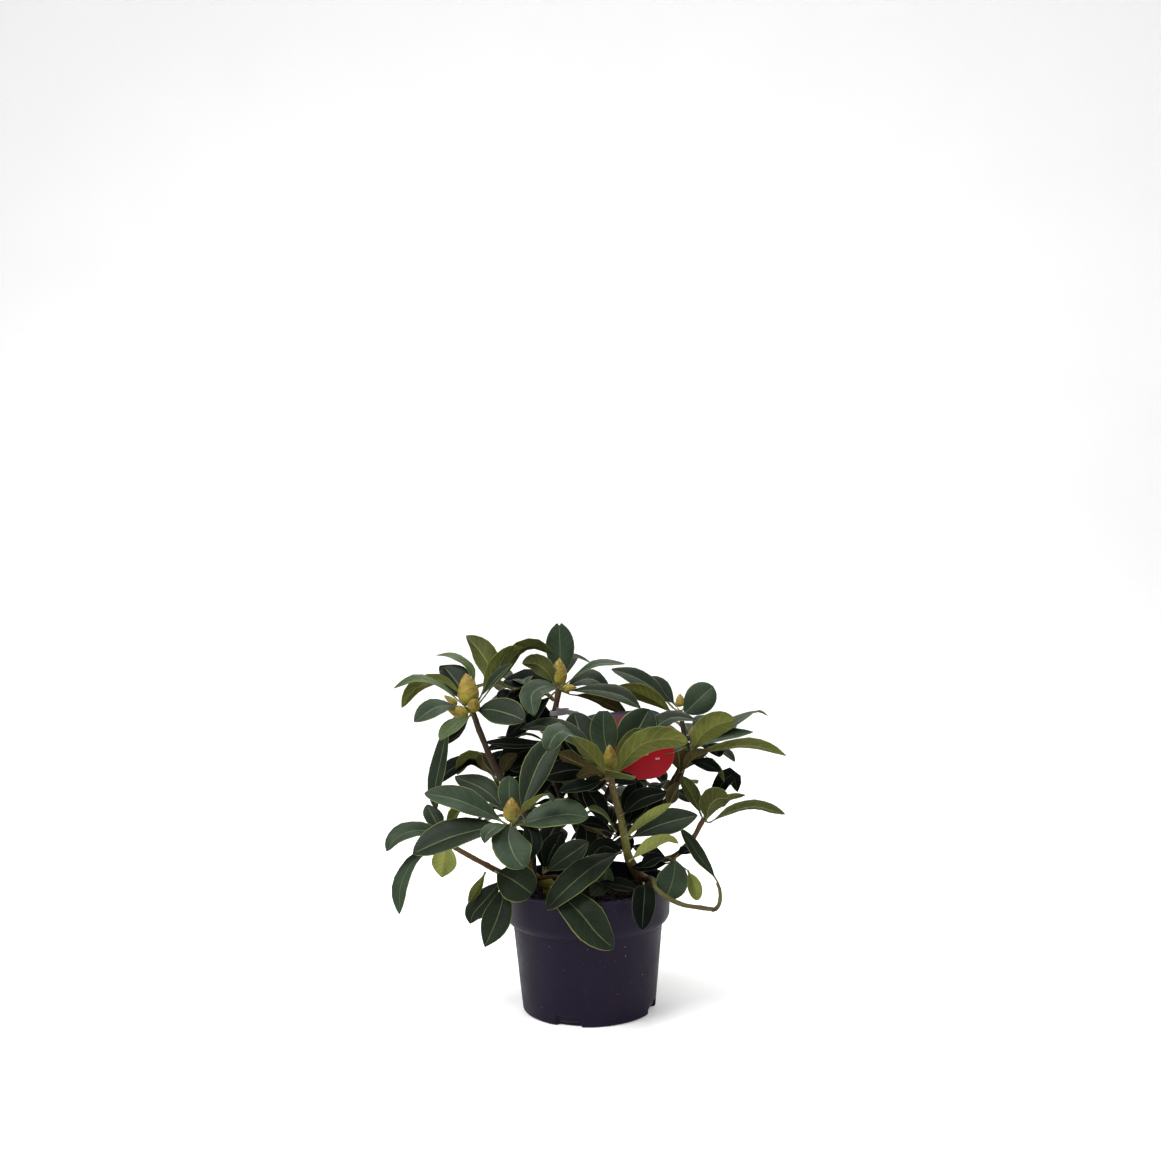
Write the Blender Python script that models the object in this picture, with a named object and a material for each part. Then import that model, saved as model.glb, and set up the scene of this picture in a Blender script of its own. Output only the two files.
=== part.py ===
"""A young rhododendron in the nursery pot it was grown in.

The frame is the pot's: the origin is the centre of its flat underside, +Z is up and the side that
faces the viewer is -Y. Lengths are in millimetres and turned into metres by MM.

Three stems rise from the root ball and carry the boughs. Each shoot ends in a whorl of leaves, which
is one closed, lobed solid here: a lobe for each leading leaf, out to that leaf's tip. A lobe is given
in the viewer's own directions (right, up, near), because that is how a whorl is read by eye.
"""

import math

import bmesh
import bpy
import numpy as np
from mathutils import Matrix, Vector
from mathutils.bvhtree import BVHTree

MM = 0.001
GAP = 0.3

# The pot: a tapered tub with a turned-out rim band, drained through four notches in its foot.
POT_HEIGHT = 145.0
RIM_RADIUS = 95.0
RIM_BAND = 33.3
BAND_ROUND = 11.0
SHOULDER_RADIUS = 85.4
FOOT_RADIUS = 75.8
FOOT_ROUND = 3.0
LIP_ROUND = 1.2
WALL = 2.0
FLOOR = 3.0
NOTCH_COUNT = 4
NOTCH_WIDTH = 30.0
NOTCH_HEIGHT = 11.0
NOTCH_DEPTH = 7.0
NOTCH_TAPER = 3.0
NOTCH_TURN = math.radians(-108.0)
POT_SIDES = 36

# The root ball fills the pot to a little under its rim.
SOIL_LEVEL = 131.0
SOIL_ROUND = 4.0
BALL_GAP = 1.2
BALL_FOOT = 14.0

# The viewer's eye.
EYE = np.array([-1.4, -1750.0, 600.0])

# Limbs.
LIMB_SIDES = 8
LIMB_STEP = 20.0
FLARE = 4.0
FLARE_LENGTH = 9.0
JOINT_CLEARANCE = 0.5
LIMB_END = 9.0

# Leaf masses.
CORE_RADIUS = 10.0
CORE_THICKNESS = 7.0
BLADE_THICKNESS = 9.0
BLADE_UPRIGHT = 0.6
EDGE_THICKNESS = 0.8
LONE_THICKNESS = 4.0
LONE_STEP = 16.0
OVER_RIM = (0.0, -0.7, 1.0)
VALLEY_RADIUS = 27.0
VALLEY_SHARE = 0.42
WIDEST = 0.60
RING_WIDTH = 36.0
RING_ARCH = 9.0
VALLEY_LEVEL = 0.12
SHRINK = 0.92
LEAST_LOBE = 0.22
CLEARANCE = 1.2
MOST_ROUNDS = 60

# The label: a rounded card on a strap round the top shoot.
CARD_WIDTH = 114.0
CARD_HEIGHT = 79.0
CARD_CORNER = 30.0
CORNER_STEPS = 4
CARD_THICKNESS = 1.0
CARD_CENTRE = (44.0, 2.0, 298.0)
CARD_LEAN = math.radians(-14.0)
CARD_ROLL = math.radians(-4.0)
STRAP_LENGTH = 26.0
STRAP_WIDTH = 6.0
STRAP_CENTRE = (-19.0, 17.0, 336.0)
STRAP_TURN = math.radians(12.0)

# Buds.
BUD_SIDES = 10
BUD_OUTLINE = [(0.0, 0.0), (0.36, 0.0), (0.86, 0.22), (1.0, 0.42), (0.74, 0.68), (0.3, 0.9), (0.0, 1.0)]


def clear_scene():
    """Takes every object out of the scene."""
    for thing in list(bpy.data.objects):
        bpy.data.objects.remove(thing, do_unlink=True)


def material(name, colour, roughness, metallic=0.0):
    """A plain Principled surface."""
    surface = bpy.data.materials.new(name)
    surface.use_nodes = True
    shader = surface.node_tree.nodes["Principled BSDF"]
    shader.inputs["Base Color"].default_value = (*colour, 1.0)
    shader.inputs["Roughness"].default_value = roughness
    shader.inputs["Metallic"].default_value = metallic
    return surface


def add_object(name, mesh_parts, surface, parent, smooth_angle=None):
    """Puts points in millimetres and their faces into the scene as one named object."""
    points, faces = mesh_parts
    mesh = bpy.data.meshes.new(name)
    mesh.from_pydata((np.asarray(points) * MM).tolist(), [], [tuple(f) for f in faces])
    mesh.materials.append(surface)
    if smooth_angle is not None:
        mesh.shade_smooth()
        mesh.set_sharp_from_angle(angle=smooth_angle)
    made = bpy.data.objects.new(name, mesh)
    bpy.context.scene.collection.objects.link(made)
    made.parent = parent
    return made


def hide_cutter(cutter):
    """Keeps a cutting shape out of the finished object."""
    cutter.hide_render = True
    cutter.display_type = "WIRE"


def cut(target, cutter, label):
    """Takes the cutter's shape out of the target."""
    boolean = target.modifiers.new(label, "BOOLEAN")
    boolean.operation = "DIFFERENCE"
    boolean.solver = "EXACT"
    boolean.object = cutter


def turned(profile, sides):
    """A solid turned about Z from (radius, height) points that start and end on the axis."""
    angles = np.linspace(0.0, 2.0 * math.pi, sides, endpoint=False)
    rings = profile[1:-1]
    points = [(0.0, 0.0, profile[0][1])]
    for radius, height in rings:
        ring = np.stack(
            [radius * np.cos(angles), radius * np.sin(angles), np.full(sides, height)], axis=1
        )
        points.extend(map(tuple, ring))
    points.append((0.0, 0.0, profile[-1][1]))
    last = len(points) - 1
    faces = []
    for side in range(sides):
        after = (side + 1) % sides
        faces.append((0, 1 + after, 1 + side))
        for ring in range(len(rings) - 1):
            low = 1 + ring * sides
            high = low + sides
            faces.append((low + side, low + after, high + after, high + side))
        top = 1 + (len(rings) - 1) * sides
        faces.append((last, top + side, top + after))
    return np.array(points), faces


def wall_radius(height):
    """The outside radius of the straight tapered wall at a height below the rim band."""
    return FOOT_RADIUS + (SHOULDER_RADIUS - FOOT_RADIUS) * height / (POT_HEIGHT - RIM_BAND)


def outside_profile():
    """The pot's outside, from the edge of its foot to the top of its rim."""
    band_foot = POT_HEIGHT - RIM_BAND
    return [
        (FOOT_RADIUS - FOOT_ROUND, 0.0),
        (FOOT_RADIUS, FOOT_ROUND),
        (SHOULDER_RADIUS, band_foot),
        (RIM_RADIUS - BAND_ROUND * 0.4, band_foot + BAND_ROUND * 0.1),
        (RIM_RADIUS - BAND_ROUND * 0.1, band_foot + BAND_ROUND * 0.5),
        (RIM_RADIUS, band_foot + BAND_ROUND),
        (RIM_RADIUS, POT_HEIGHT - LIP_ROUND),
        (RIM_RADIUS - LIP_ROUND / 2, POT_HEIGHT),
    ]


def make_pot(surface, parent):
    """The tub, with a notch cut at each drain."""
    band_foot = POT_HEIGHT - RIM_BAND
    inside = [
        (RIM_RADIUS - WALL, POT_HEIGHT),
        (RIM_RADIUS - WALL, band_foot + BAND_ROUND + WALL),
        (SHOULDER_RADIUS - WALL, band_foot + WALL),
        (FOOT_RADIUS - WALL, FLOOR),
    ]
    profile = [(0.0, 0.0), *outside_profile(), *inside, (0.0, FLOOR)]
    pot = add_object("pot", turned(profile, POT_SIDES), surface, parent, math.radians(40))
    for notch in range(NOTCH_COUNT):
        turn = NOTCH_TURN + notch * 2.0 * math.pi / NOTCH_COUNT
        low = np.array([FOOT_RADIUS - NOTCH_DEPTH, -NOTCH_WIDTH / 2, -FLOOR])
        high = np.array([FOOT_RADIUS + NOTCH_DEPTH, NOTCH_WIDTH / 2, NOTCH_HEIGHT])
        drain = add_object(f"drain_{notch + 1}", wedge(low, high, NOTCH_TAPER), surface, parent)
        drain.rotation_euler = (0.0, 0.0, turn)
        hide_cutter(drain)
        cut(pot, drain, f"drain {notch + 1}")


def pot_envelope():
    """The filled pot as one shape, which the leaves are held off."""
    profile = [
        (0.0, 0.0),
        *outside_profile(),
        (RIM_RADIUS - WALL, POT_HEIGHT),
        (RIM_RADIUS - WALL, SOIL_LEVEL),
        (0.0, SOIL_LEVEL),
    ]
    return turned(profile, POT_SIDES)


def wedge(low, high, taper):
    """A box from low to high whose top is narrower by the taper at each end along Y."""
    points = []
    for x in (low[0], high[0]):
        points.append((x, low[1], low[2]))
        points.append((x, high[1], low[2]))
        points.append((x, high[1] - taper, high[2]))
        points.append((x, low[1] + taper, high[2]))
    faces = [(0, 3, 2, 1), (4, 5, 6, 7), (0, 1, 5, 4), (1, 2, 6, 5), (2, 3, 7, 6), (3, 0, 4, 7)]
    return np.array(points), faces


def make_root_ball(surface, parent):
    """The moist peat that holds the roots, level where the stems leave it."""
    under = FLOOR + GAP
    foot = FOOT_RADIUS - NOTCH_DEPTH - BALL_GAP
    ledge = POT_HEIGHT - RIM_BAND + WALL
    shoulder = SHOULDER_RADIUS - WALL - BALL_GAP
    collar = RIM_RADIUS - WALL - BALL_GAP
    profile = [
        (0.0, under),
        (foot, under),
        (foot, NOTCH_HEIGHT + BALL_GAP),
        (wall_radius(BALL_FOOT) - WALL - BALL_GAP, BALL_FOOT),
        (shoulder, ledge),
        (collar, ledge + BAND_ROUND + BALL_GAP),
        (collar, SOIL_LEVEL - SOIL_ROUND / 2),
        (collar - SOIL_ROUND, SOIL_LEVEL),
        (0.0, SOIL_LEVEL),
    ]
    add_object("root_ball", turned(profile, POT_SIDES), surface, parent, math.radians(40))


def smooth_path(corners, step):
    """Points about one step apart on a Catmull-Rom curve through the corners."""
    given = np.array(corners, float)
    padded = np.vstack([2 * given[0] - given[1], given, 2 * given[-1] - given[-2]])
    fine = []
    for index in range(len(given) - 1):
        p0, p1, p2, p3 = padded[index : index + 4]
        t = np.linspace(0.0, 1.0, 24, endpoint=False)[:, None]
        fine.append(
            0.5
            * (
                2 * p1
                + (p2 - p0) * t
                + (2 * p0 - 5 * p1 + 4 * p2 - p3) * t**2
                + (3 * p1 - p0 - 3 * p2 + p3) * t**3
            )
        )
    fine = np.vstack([*fine, given[-1:]])
    along = np.concatenate([[0.0], np.cumsum(np.linalg.norm(np.diff(fine, axis=0), axis=1))])
    count = max(3, round(along[-1] / step) + 1)
    wanted = np.linspace(0.0, along[-1], count)
    return np.stack([np.interp(wanted, along, fine[:, axis]) for axis in range(3)], axis=1)


def tube(path, radii, level_foot):
    """A limb: rings square to the path, closed by a flat face at each end."""
    tangents = np.gradient(path, axis=0)
    if level_foot:
        tangents[0] = (0.0, 0.0, 1.0)
    tangents /= np.linalg.norm(tangents, axis=1, keepdims=True)
    side = np.cross(tangents[0], (0.31, 0.95, 0.05))
    points = []
    angles = np.linspace(0.0, 2.0 * math.pi, LIMB_SIDES, endpoint=False)
    for centre, tangent, radius in zip(path, tangents, radii):
        side = side - tangent * np.dot(side, tangent)
        side /= np.linalg.norm(side)
        other = np.cross(tangent, side)
        ring = centre + radius * (
            np.cos(angles)[:, None] * side + np.sin(angles)[:, None] * other
        )
        points.extend(map(tuple, ring))
    faces = [tuple(reversed(range(LIMB_SIDES)))]
    for ring in range(len(path) - 1):
        low = ring * LIMB_SIDES
        high = low + LIMB_SIDES
        for edge in range(LIMB_SIDES):
            after = (edge + 1) % LIMB_SIDES
            faces.append((low + edge, low + after, high + after, high + edge))
    top = (len(path) - 1) * LIMB_SIDES
    faces.append(tuple(range(top, top + LIMB_SIDES)))
    return np.array(points), faces


class Limb:
    """One stem or bough: its route from foot to tip, and its taper."""

    def __init__(self, name, route, thick, thin, carrier=None):
        self.name = name
        self.carrier = carrier
        self.path = smooth_path(route, LIMB_STEP)
        along = np.linspace(0.0, 1.0, len(self.path))
        self.radii = (thick + (thin - thick) * along) / 2
        if carrier is None:
            length = np.linalg.norm(self.path - self.path[0], axis=1)
            self.radii += FLARE * np.exp(-length / FLARE_LENGTH)

    def solid(self, extra=0.0):
        """The limb's own tube, made thicker by extra all round."""
        return tube(self.path, self.radii + extra, self.carrier is None)

    def build(self, surface, parent, carriers):
        """Adds the limb, cut to sit against the limb that carries it."""
        made = add_object(self.name, self.solid(), surface, parent, math.radians(50))
        if self.carrier is not None:
            cut(made, carriers[self.carrier], "seat on " + self.carrier)


def by_eye(hub, spans):
    """Lobes of a hub from (right, up, near, width, arch), in the directions of the viewer's look."""
    near = EYE - np.array(HUB[hub])
    near /= np.linalg.norm(near)
    right = np.cross((0.0, 0.0, 1.0), near)
    right /= np.linalg.norm(right)
    directions = np.array([right, np.cross(near, right), near])
    return [(np.array(span[:3]) @ directions, *span[3:]) for span in spans]


def in_frame(spans):
    """Lobes from (x, y, z, width, arch), in the pot's frame."""
    return [(np.array(span[:3], float), *span[3:]) for span in spans]


def ring_of_lobes(count, reach, rise, turn):
    """Lobes spread evenly round a whorl whose leaves alternate between raised and drooping."""
    lobes = []
    for index in range(count):
        angle = turn + index * 2.0 * math.pi / count
        length = reach * (0.92 + 0.08 * math.cos(2.4 * index + turn))
        lift = rise * (1.0 if index % 2 else -0.6)
        tip = np.array([length * math.cos(angle), length * math.sin(angle), lift])
        lobes.append((tip, RING_WIDTH, RING_ARCH))
    return lobes


def bow(along):
    """The share of a lobe's bow at a share of its length: none at both ends and all of it midway."""
    return 4.0 * along * (1.0 - along)


class Whorl:
    """A mass of leaves round the tip of a shoot: lobes that leave one core."""

    def __init__(self, name, hub, lobes):
        self.name = name
        self.hub = np.array(hub, float)
        ordered = sorted(lobes, key=lambda lobe: math.atan2(lobe[0][1], lobe[0][0]))
        self.tips = np.array([tip for tip, _, _ in ordered])
        self.widths = np.array([width for _, width, _ in ordered])
        self.arches = np.array([arch for _, _, arch in ordered])
        self.scale = np.ones(len(ordered))

    def lifts(self):
        """How far each lobe bows at its middle: up, and square to its own run."""
        run = self.tips / np.linalg.norm(self.tips, axis=1, keepdims=True)
        up = np.array([0.0, 0.0, 1.0]) - run * run[:, 2:]
        up /= np.linalg.norm(up, axis=1, keepdims=True)
        return up * (self.arches * self.scale)[:, None]

    def half_widths(self, flat, azimuth):
        """Half of each lobe's width, held off the lobes on both sides of it."""
        after = (np.roll(azimuth, -1) - azimuth) % (2.0 * math.pi)
        room = np.minimum(after, np.roll(after, 1)) * 0.42
        most = WIDEST * flat * np.tan(np.minimum(room, 1.2)) + CORE_RADIUS * 0.45
        return np.minimum(self.widths / 2, most)

    def middle(self):
        """Middle-surface points, one row for each column, from the core's ring to the rim."""
        tips = self.tips * self.scale[:, None]
        lifts = self.lifts()
        azimuth = np.arctan2(self.tips[:, 1], self.tips[:, 0])
        flat = np.linalg.norm(tips[:, :2], axis=1)
        half = self.half_widths(flat, azimuth)
        columns = []
        for index, tip in enumerate(tips):
            after = (index + 1) % len(tips)
            heading = np.array([math.cos(azimuth[index]), math.sin(azimuth[index]), 0.0])
            across = np.array([-heading[1], heading[0], 0.0])
            core = heading * CORE_RADIUS
            for side in (-1.0, 0.0, 1.0):
                start = core * 0.8 + across * side * CORE_RADIUS * 0.35
                reach = WIDEST if side else 1.0
                rim = core + (tip - core) * reach + across * side * half[index]
                inner = (start + rim) / 2
                rim = rim + lifts[index] * bow(reach)
                inner = inner + lifts[index] * bow(reach / 2)
                columns.append([start, inner, rim])
            gap = (azimuth[after] - azimuth[index]) % (2.0 * math.pi)
            between = azimuth[index] + gap / 2
            heading = np.array([math.cos(between), math.sin(between), 0.0])
            level = VALLEY_LEVEL * (tips[index][2] + tips[after][2])
            valley = np.clip(VALLEY_SHARE * min(flat[index], flat[after]), CORE_RADIUS, VALLEY_RADIUS)
            rim = heading * valley + np.array([0.0, 0.0, level])
            columns.append([heading * CORE_RADIUS * 0.8, (heading * CORE_RADIUS + rim) / 2, rim])
        return np.array(columns)

    def solid(self, extra=0.0):
        """The closed shell: the middle surface moved half its thickness both ways.

        The move is straight up and down at the core, so that steep lobes don't cross there.
        """
        middle = self.middle()
        count, rings, _ = middle.shape
        outward = np.gradient(middle, axis=1)
        around = (np.roll(middle, -1, axis=0) - np.roll(middle, 1, axis=0)) / 2
        normals = np.cross(outward, around)
        normals /= np.maximum(np.linalg.norm(normals, axis=2, keepdims=True), 1e-6)
        normals[:, 0] = (0.0, 0.0, 1.0)
        normals[:, 1] += (0.0, 0.0, BLADE_UPRIGHT)
        normals[:, 1] /= np.linalg.norm(normals[:, 1], axis=1, keepdims=True)
        half = np.array([CORE_THICKNESS, BLADE_THICKNESS, 0.0])[None, :, None] / 2 + extra
        half[:, -1] = (extra + EDGE_THICKNESS) / 2
        top = self.hub + middle + normals * half
        low = self.hub + middle - normals * half
        rise = CORE_THICKNESS / 2 + extra
        up = np.array([0.0, 0.0, rise])
        points = np.vstack([[self.hub + up], top.reshape(-1, 3), [self.hub - up], low.reshape(-1, 3)])
        lower = 1 + count * rings
        faces = []
        owner = []
        for column in range(count):
            after = (column + 1) % count
            here = 1 + column * rings
            there = 1 + after * rings
            made = [(0, here, there), (lower, lower + there, lower + here)]
            for ring in range(rings - 1):
                a, b = here + ring, here + ring + 1
                c, d = there + ring + 1, there + ring
                made += [(a, b, c, d), (lower + d, lower + c, lower + b, lower + a)]
            rim, far = here + rings - 1, there + rings - 1
            made.append((rim, lower + rim, lower + far, far))
            for face in made:
                if len(face) == 4:
                    faces += [(face[0], face[1], face[2]), (face[0], face[2], face[3])]
                    owner += [column // 4] * 2
                else:
                    faces.append(face)
                    owner.append(column // 4)
        return points, faces, owner

    def settle(self, placed):
        """Shortens each lobe that reaches into a piece placed before it, a little at a time."""
        for _ in range(MOST_ROUNDS):
            points, faces, owner = self.solid(CLEARANCE)
            tree = tree_of(points, faces)
            touched = set()
            for other in placed:
                touched |= {owner[face] for face, _ in tree.overlap(other)}
            movable = [lobe for lobe in touched if self.scale[lobe] > LEAST_LOBE]
            if not movable:
                return
            self.scale[movable] *= SHRINK

    def build(self, surface, parent, placed):
        """Adds the mass where it clears what is already there."""
        self.settle(placed)
        points, faces, _ = self.solid()
        add_object(self.name, (points, faces), surface, parent)
        placed.append(tree_of(points, faces))


class Blade:
    """One leaf that hangs or stands apart from its whorl: a thin pad along its own midrib."""

    def __init__(self, name, route, width, facing=(0.0, 1.0, 0.0)):
        self.name = name
        self.path = smooth_path(route, LONE_STEP)
        self.width = width
        self.facing = facing

    def solid(self):
        """A lens of constant middle thickness whose width swells and closes along the midrib."""
        along = np.linspace(0.0, 1.0, len(self.path))
        spread = np.sin(math.pi * np.clip(along * 0.94 + 0.04, 0.0, 1.0)) ** 0.8
        half = self.width / 2 * spread
        tangents = np.gradient(self.path, axis=0)
        across = np.cross(tangents, self.facing)
        across /= np.linalg.norm(across, axis=1, keepdims=True)
        face_way = np.cross(tangents, across)
        face_way /= np.linalg.norm(face_way, axis=1, keepdims=True)
        thick = face_way * (LONE_THICKNESS / 2 * (0.3 + 0.7 * spread))[:, None]
        rings = np.stack(
            [
                self.path - across * half[:, None],
                self.path + thick,
                self.path + across * half[:, None],
                self.path - thick,
            ],
            axis=1,
        )
        points = rings.reshape(-1, 3)
        faces = [(0, 1, 2, 3)]
        for ring in range(len(self.path) - 1):
            low = ring * 4
            for edge in range(4):
                after = (edge + 1) % 4
                faces.append((low + edge, low + 4 + edge, low + 4 + after, low + after))
        last = (len(self.path) - 1) * 4
        faces.append((last + 3, last + 2, last + 1, last))
        return points, faces

    def build(self, surface, parent, placed):
        """Adds the leaf with its faces turned outwards."""
        points, faces = self.solid()
        made = add_object(self.name, (points, faces), surface, parent)
        face_outwards(made)
        placed.append(tree_of(points, faces))


def tree_of(points, faces):
    """A search tree of a mesh, for finding what meets it."""
    return BVHTree.FromPolygons(np.asarray(points).tolist(), [tuple(face) for face in faces])


def face_outwards(made):
    """Turns every face of a closed mesh outwards."""
    work = bmesh.new()
    work.from_mesh(made.data)
    bmesh.ops.recalc_face_normals(work, faces=work.faces)
    work.to_mesh(made.data)
    work.free()


def make_bud(name, foot, lean, width, length, surface, parent, placed):
    """A flower bud: a turned, pointed egg on the tip of its shoot."""
    profile = [(radius * width / 2, height * length) for radius, height in BUD_OUTLINE]
    points, faces = turned(profile, BUD_SIDES)
    tilt = Vector((0.0, 0.0, 1.0)).rotation_difference(Vector(lean)).to_matrix()
    points = points @ np.array(tilt).T + np.array(foot)
    add_object(name, (points, faces), surface, parent, math.radians(50))
    placed.append(tree_of(points, faces))


def rounded_outline(width, height, corner, steps):
    """The outline of a card whose corners are arcs."""
    outline = []
    for quarter in range(4):
        start = quarter * math.pi / 2
        middle = (
            (width / 2 - corner) * (1 if quarter in (0, 3) else -1),
            (height / 2 - corner) * (1 if quarter in (0, 1) else -1),
        )
        for step in range(steps + 1):
            angle = start + step * math.pi / 2 / steps
            outline.append(
                (middle[0] + corner * math.cos(angle), middle[1] + corner * math.sin(angle))
            )
    return outline


def slab(outline, thickness, place):
    """A flat plate of an outline in X and Z, put in its place by a matrix."""
    front = [Vector((x, -thickness / 2, z)) for x, z in outline]
    back = [Vector((x, thickness / 2, z)) for x, z in outline]
    points = np.array([tuple(place @ point) for point in front + back])
    count = len(outline)
    faces = [tuple(range(count)), tuple(reversed(range(count, 2 * count)))]
    for edge in range(count):
        after = (edge + 1) % count
        faces.append((edge, count + edge, count + after, after))
    return points, faces


def make_label(card_surface, strap_surface, parent, placed):
    """The card and the strap that ties it to the top shoot."""
    place = (
        Matrix.Translation(CARD_CENTRE)
        @ Matrix.Rotation(CARD_ROLL, 4, "Y")
        @ Matrix.Rotation(CARD_LEAN, 4, "X")
    )
    outline = rounded_outline(CARD_WIDTH, CARD_HEIGHT, CARD_CORNER, CORNER_STEPS)
    card = slab(outline, CARD_THICKNESS, place)
    made = add_object("label_card", card, card_surface, parent)
    face_outwards(made)
    placed.append(tree_of(*card))
    strap_place = Matrix.Translation(STRAP_CENTRE) @ Matrix.Rotation(STRAP_TURN, 4, "Y")
    half, rise = STRAP_LENGTH / 2, STRAP_WIDTH / 2
    strap_outline = [(-half, -rise), (half, -rise), (half, rise), (-half, rise)]
    strap = slab(strap_outline, CARD_THICKNESS, strap_place)
    made = add_object("label_strap", strap, strap_surface, parent)
    face_outwards(made)
    placed.append(tree_of(*strap))


# Where each shoot ends, in the pot's frame.
HUB = {
    "upper_left": (-127.0, 0.0, 343.0),
    "top": (-28.0, 35.0, 362.0),
    "centre": (28.0, -45.0, 278.0),
    "front_left": (-80.0, -85.0, 230.0),
    "far_left": (-158.0, -30.0, 199.0),
    "right": (135.0, 10.0, 212.0),
    "upper_right": (120.0, 42.0, 285.0),
    "upper_right_tip": (112.0, 50.0, 331.0),
    "middle_left": (-103.0, 45.0, 252.0),
    "back_upper": (-76.0, 100.0, 350.0),
    "back_left": (-44.0, 112.0, 257.0),
    "back": (45.0, 118.0, 272.0),
    "back_right": (132.0, 130.0, 280.0),
    "low_back_left": (-80.0, 128.0, 195.0),
    "low_back": (40.0, 146.0, 198.0),
}

# Feet of the three stems on the root ball.
LEFT_FOOT = (-44.0, 8.0, SOIL_LEVEL + GAP)
RIGHT_FOOT = (67.0, 12.0, SOIL_LEVEL + GAP)
BACK_FOOT = (8.0, 32.0, SOIL_LEVEL + GAP)


def under(hub, approach):
    """Where a limb ends: just short of a whorl's core, on the side it comes from."""
    way = np.array(approach, float)
    way /= np.linalg.norm(way)
    return tuple(np.array(HUB[hub]) - way * LIMB_END)


def above(foot, rise):
    """A point straight over a stem's foot."""
    return (foot[0], foot[1], foot[2] + rise)


def limbs():
    """Every stem and bough, a carrier before what it carries."""
    return [
        Limb(
            "stem_left",
            [LEFT_FOOT, above(LEFT_FOOT, 8), (-54, 0, 145), (-64, -12, 157), (-67, -30, 173),
             (-72, -55, 197), under("front_left", (-0.2, -0.5, 1))],
            11, 6.5,
        ),
        Limb(
            "stem_right",
            [RIGHT_FOOT, above(RIGHT_FOOT, 8), (60, 7, 147), (49, -8, 169), (44, -20, 190),
             (39, -31, 222), (31, -42, 256), under("centre", (-0.15, -0.1, 1))],
            10, 7,
        ),
        Limb("stem_back", [BACK_FOOT, above(BACK_FOOT, 12), (10, 35, 162), (12, 37, 194)], 12, 10),
        Limb(
            "bough_upper_left",
            [(-64, -13, 158), (-61, -4, 178), (-68, 4, 219), (-98, 6, 268), (-113, 4, 302),
             under("upper_left", (-0.3, 0, 1))],
            8, 7, "stem_left",
        ),
        Limb(
            "bough_middle_left",
            [(-80, 5, 238), (-88, 18, 238), (-99, 36, 240), under("middle_left", (-0.1, 0.2, 1))],
            6, 5.5, "bough_upper_left",
        ),
        Limb(
            "bough_far_left",
            [(-50, 3, 142), (-64, 3, 146), (-78, -5, 150), (-100, -18, 162), (-118, -26, 174),
             (-134, -28, 184), under("far_left", (-0.6, 0, 1))],
            7, 6, "stem_left",
        ),
        Limb(
            "bough_top",
            [(11, 36, 174), (2, 38, 191), (-15, 38, 241), (-28, 37, 300), (-34, 35, 326),
             under("top", (0.2, 0, 1))],
            9, 7, "stem_back",
        ),
        Limb(
            "bough_upper_right",
            [(12, 37, 187), (40, 38, 199), (84, 36, 219), (105, 36, 245),
             under("upper_right", (0.3, 0.1, 1))],
            8, 6.5, "stem_back",
        ),
        Limb(
            "bough_upper_right_tip",
            [(119, 43, 291.5), (116, 46, 306), under("upper_right_tip", (-0.2, 0.2, 1))],
            6, 5.5, "bough_upper_right",
        ),
        Limb(
            "bough_right",
            [(56, 2, 158), (72, 4, 162), (101, 3, 171), (120, 6, 188), under("right", (0.5, 0.1, 1))],
            7, 6, "stem_right",
        ),
        Limb(
            "bough_bent_lower",
            [(64, 9, 141), (70, -16, 150), (74, -40, 154), (76, -61, 150), (91, -63, 138.5),
             (109, -61, 130.5), (139, -56, 124.5)],
            5.5, 4.8, "stem_right",
        ),
        Limb(
            "bough_bent_upper",
            [(140, -56, 125), (146, -53, 131), (147, -50, 142), (144, -47, 152)],
            4.6, 4, "bough_bent_lower",
        ),
        Limb(
            "bough_back_upper",
            [(-23, 38, 272), (-40, 60, 298), (-62, 86, 324), under("back_upper", (-0.3, 0.2, 1))],
            6.5, 6, "bough_top",
        ),
        Limb(
            "bough_back_left",
            [(10, 35, 161), (-8, 58, 186), (-28, 88, 220), under("back_left", (-0.3, 0.3, 1))],
            8, 6, "stem_back",
        ),
        Limb(
            "bough_back",
            [(12, 38, 180), (16, 64, 207), (32, 94, 238), under("back", (0.2, 0.3, 1))],
            7.5, 6, "stem_back",
        ),
        Limb(
            "bough_back_right",
            [(10, 35, 156), (48, 64, 182), (98, 104, 226), under("back_right", (0.4, 0.2, 1))],
            7, 6, "stem_back",
        ),
        Limb(
            "bough_low_back_left",
            [(9, 34, 149), (-22, 62, 163), (-54, 98, 176), under("low_back_left", (-0.4, 0.4, 1))],
            7, 5.5, "stem_back",
        ),
        Limb(
            "bough_low_back",
            [(9, 34, 143), (18, 74, 160), (32, 118, 177), under("low_back", (0, 0.4, 1))],
            7, 5.5, "stem_back",
        ),
    ]


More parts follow.
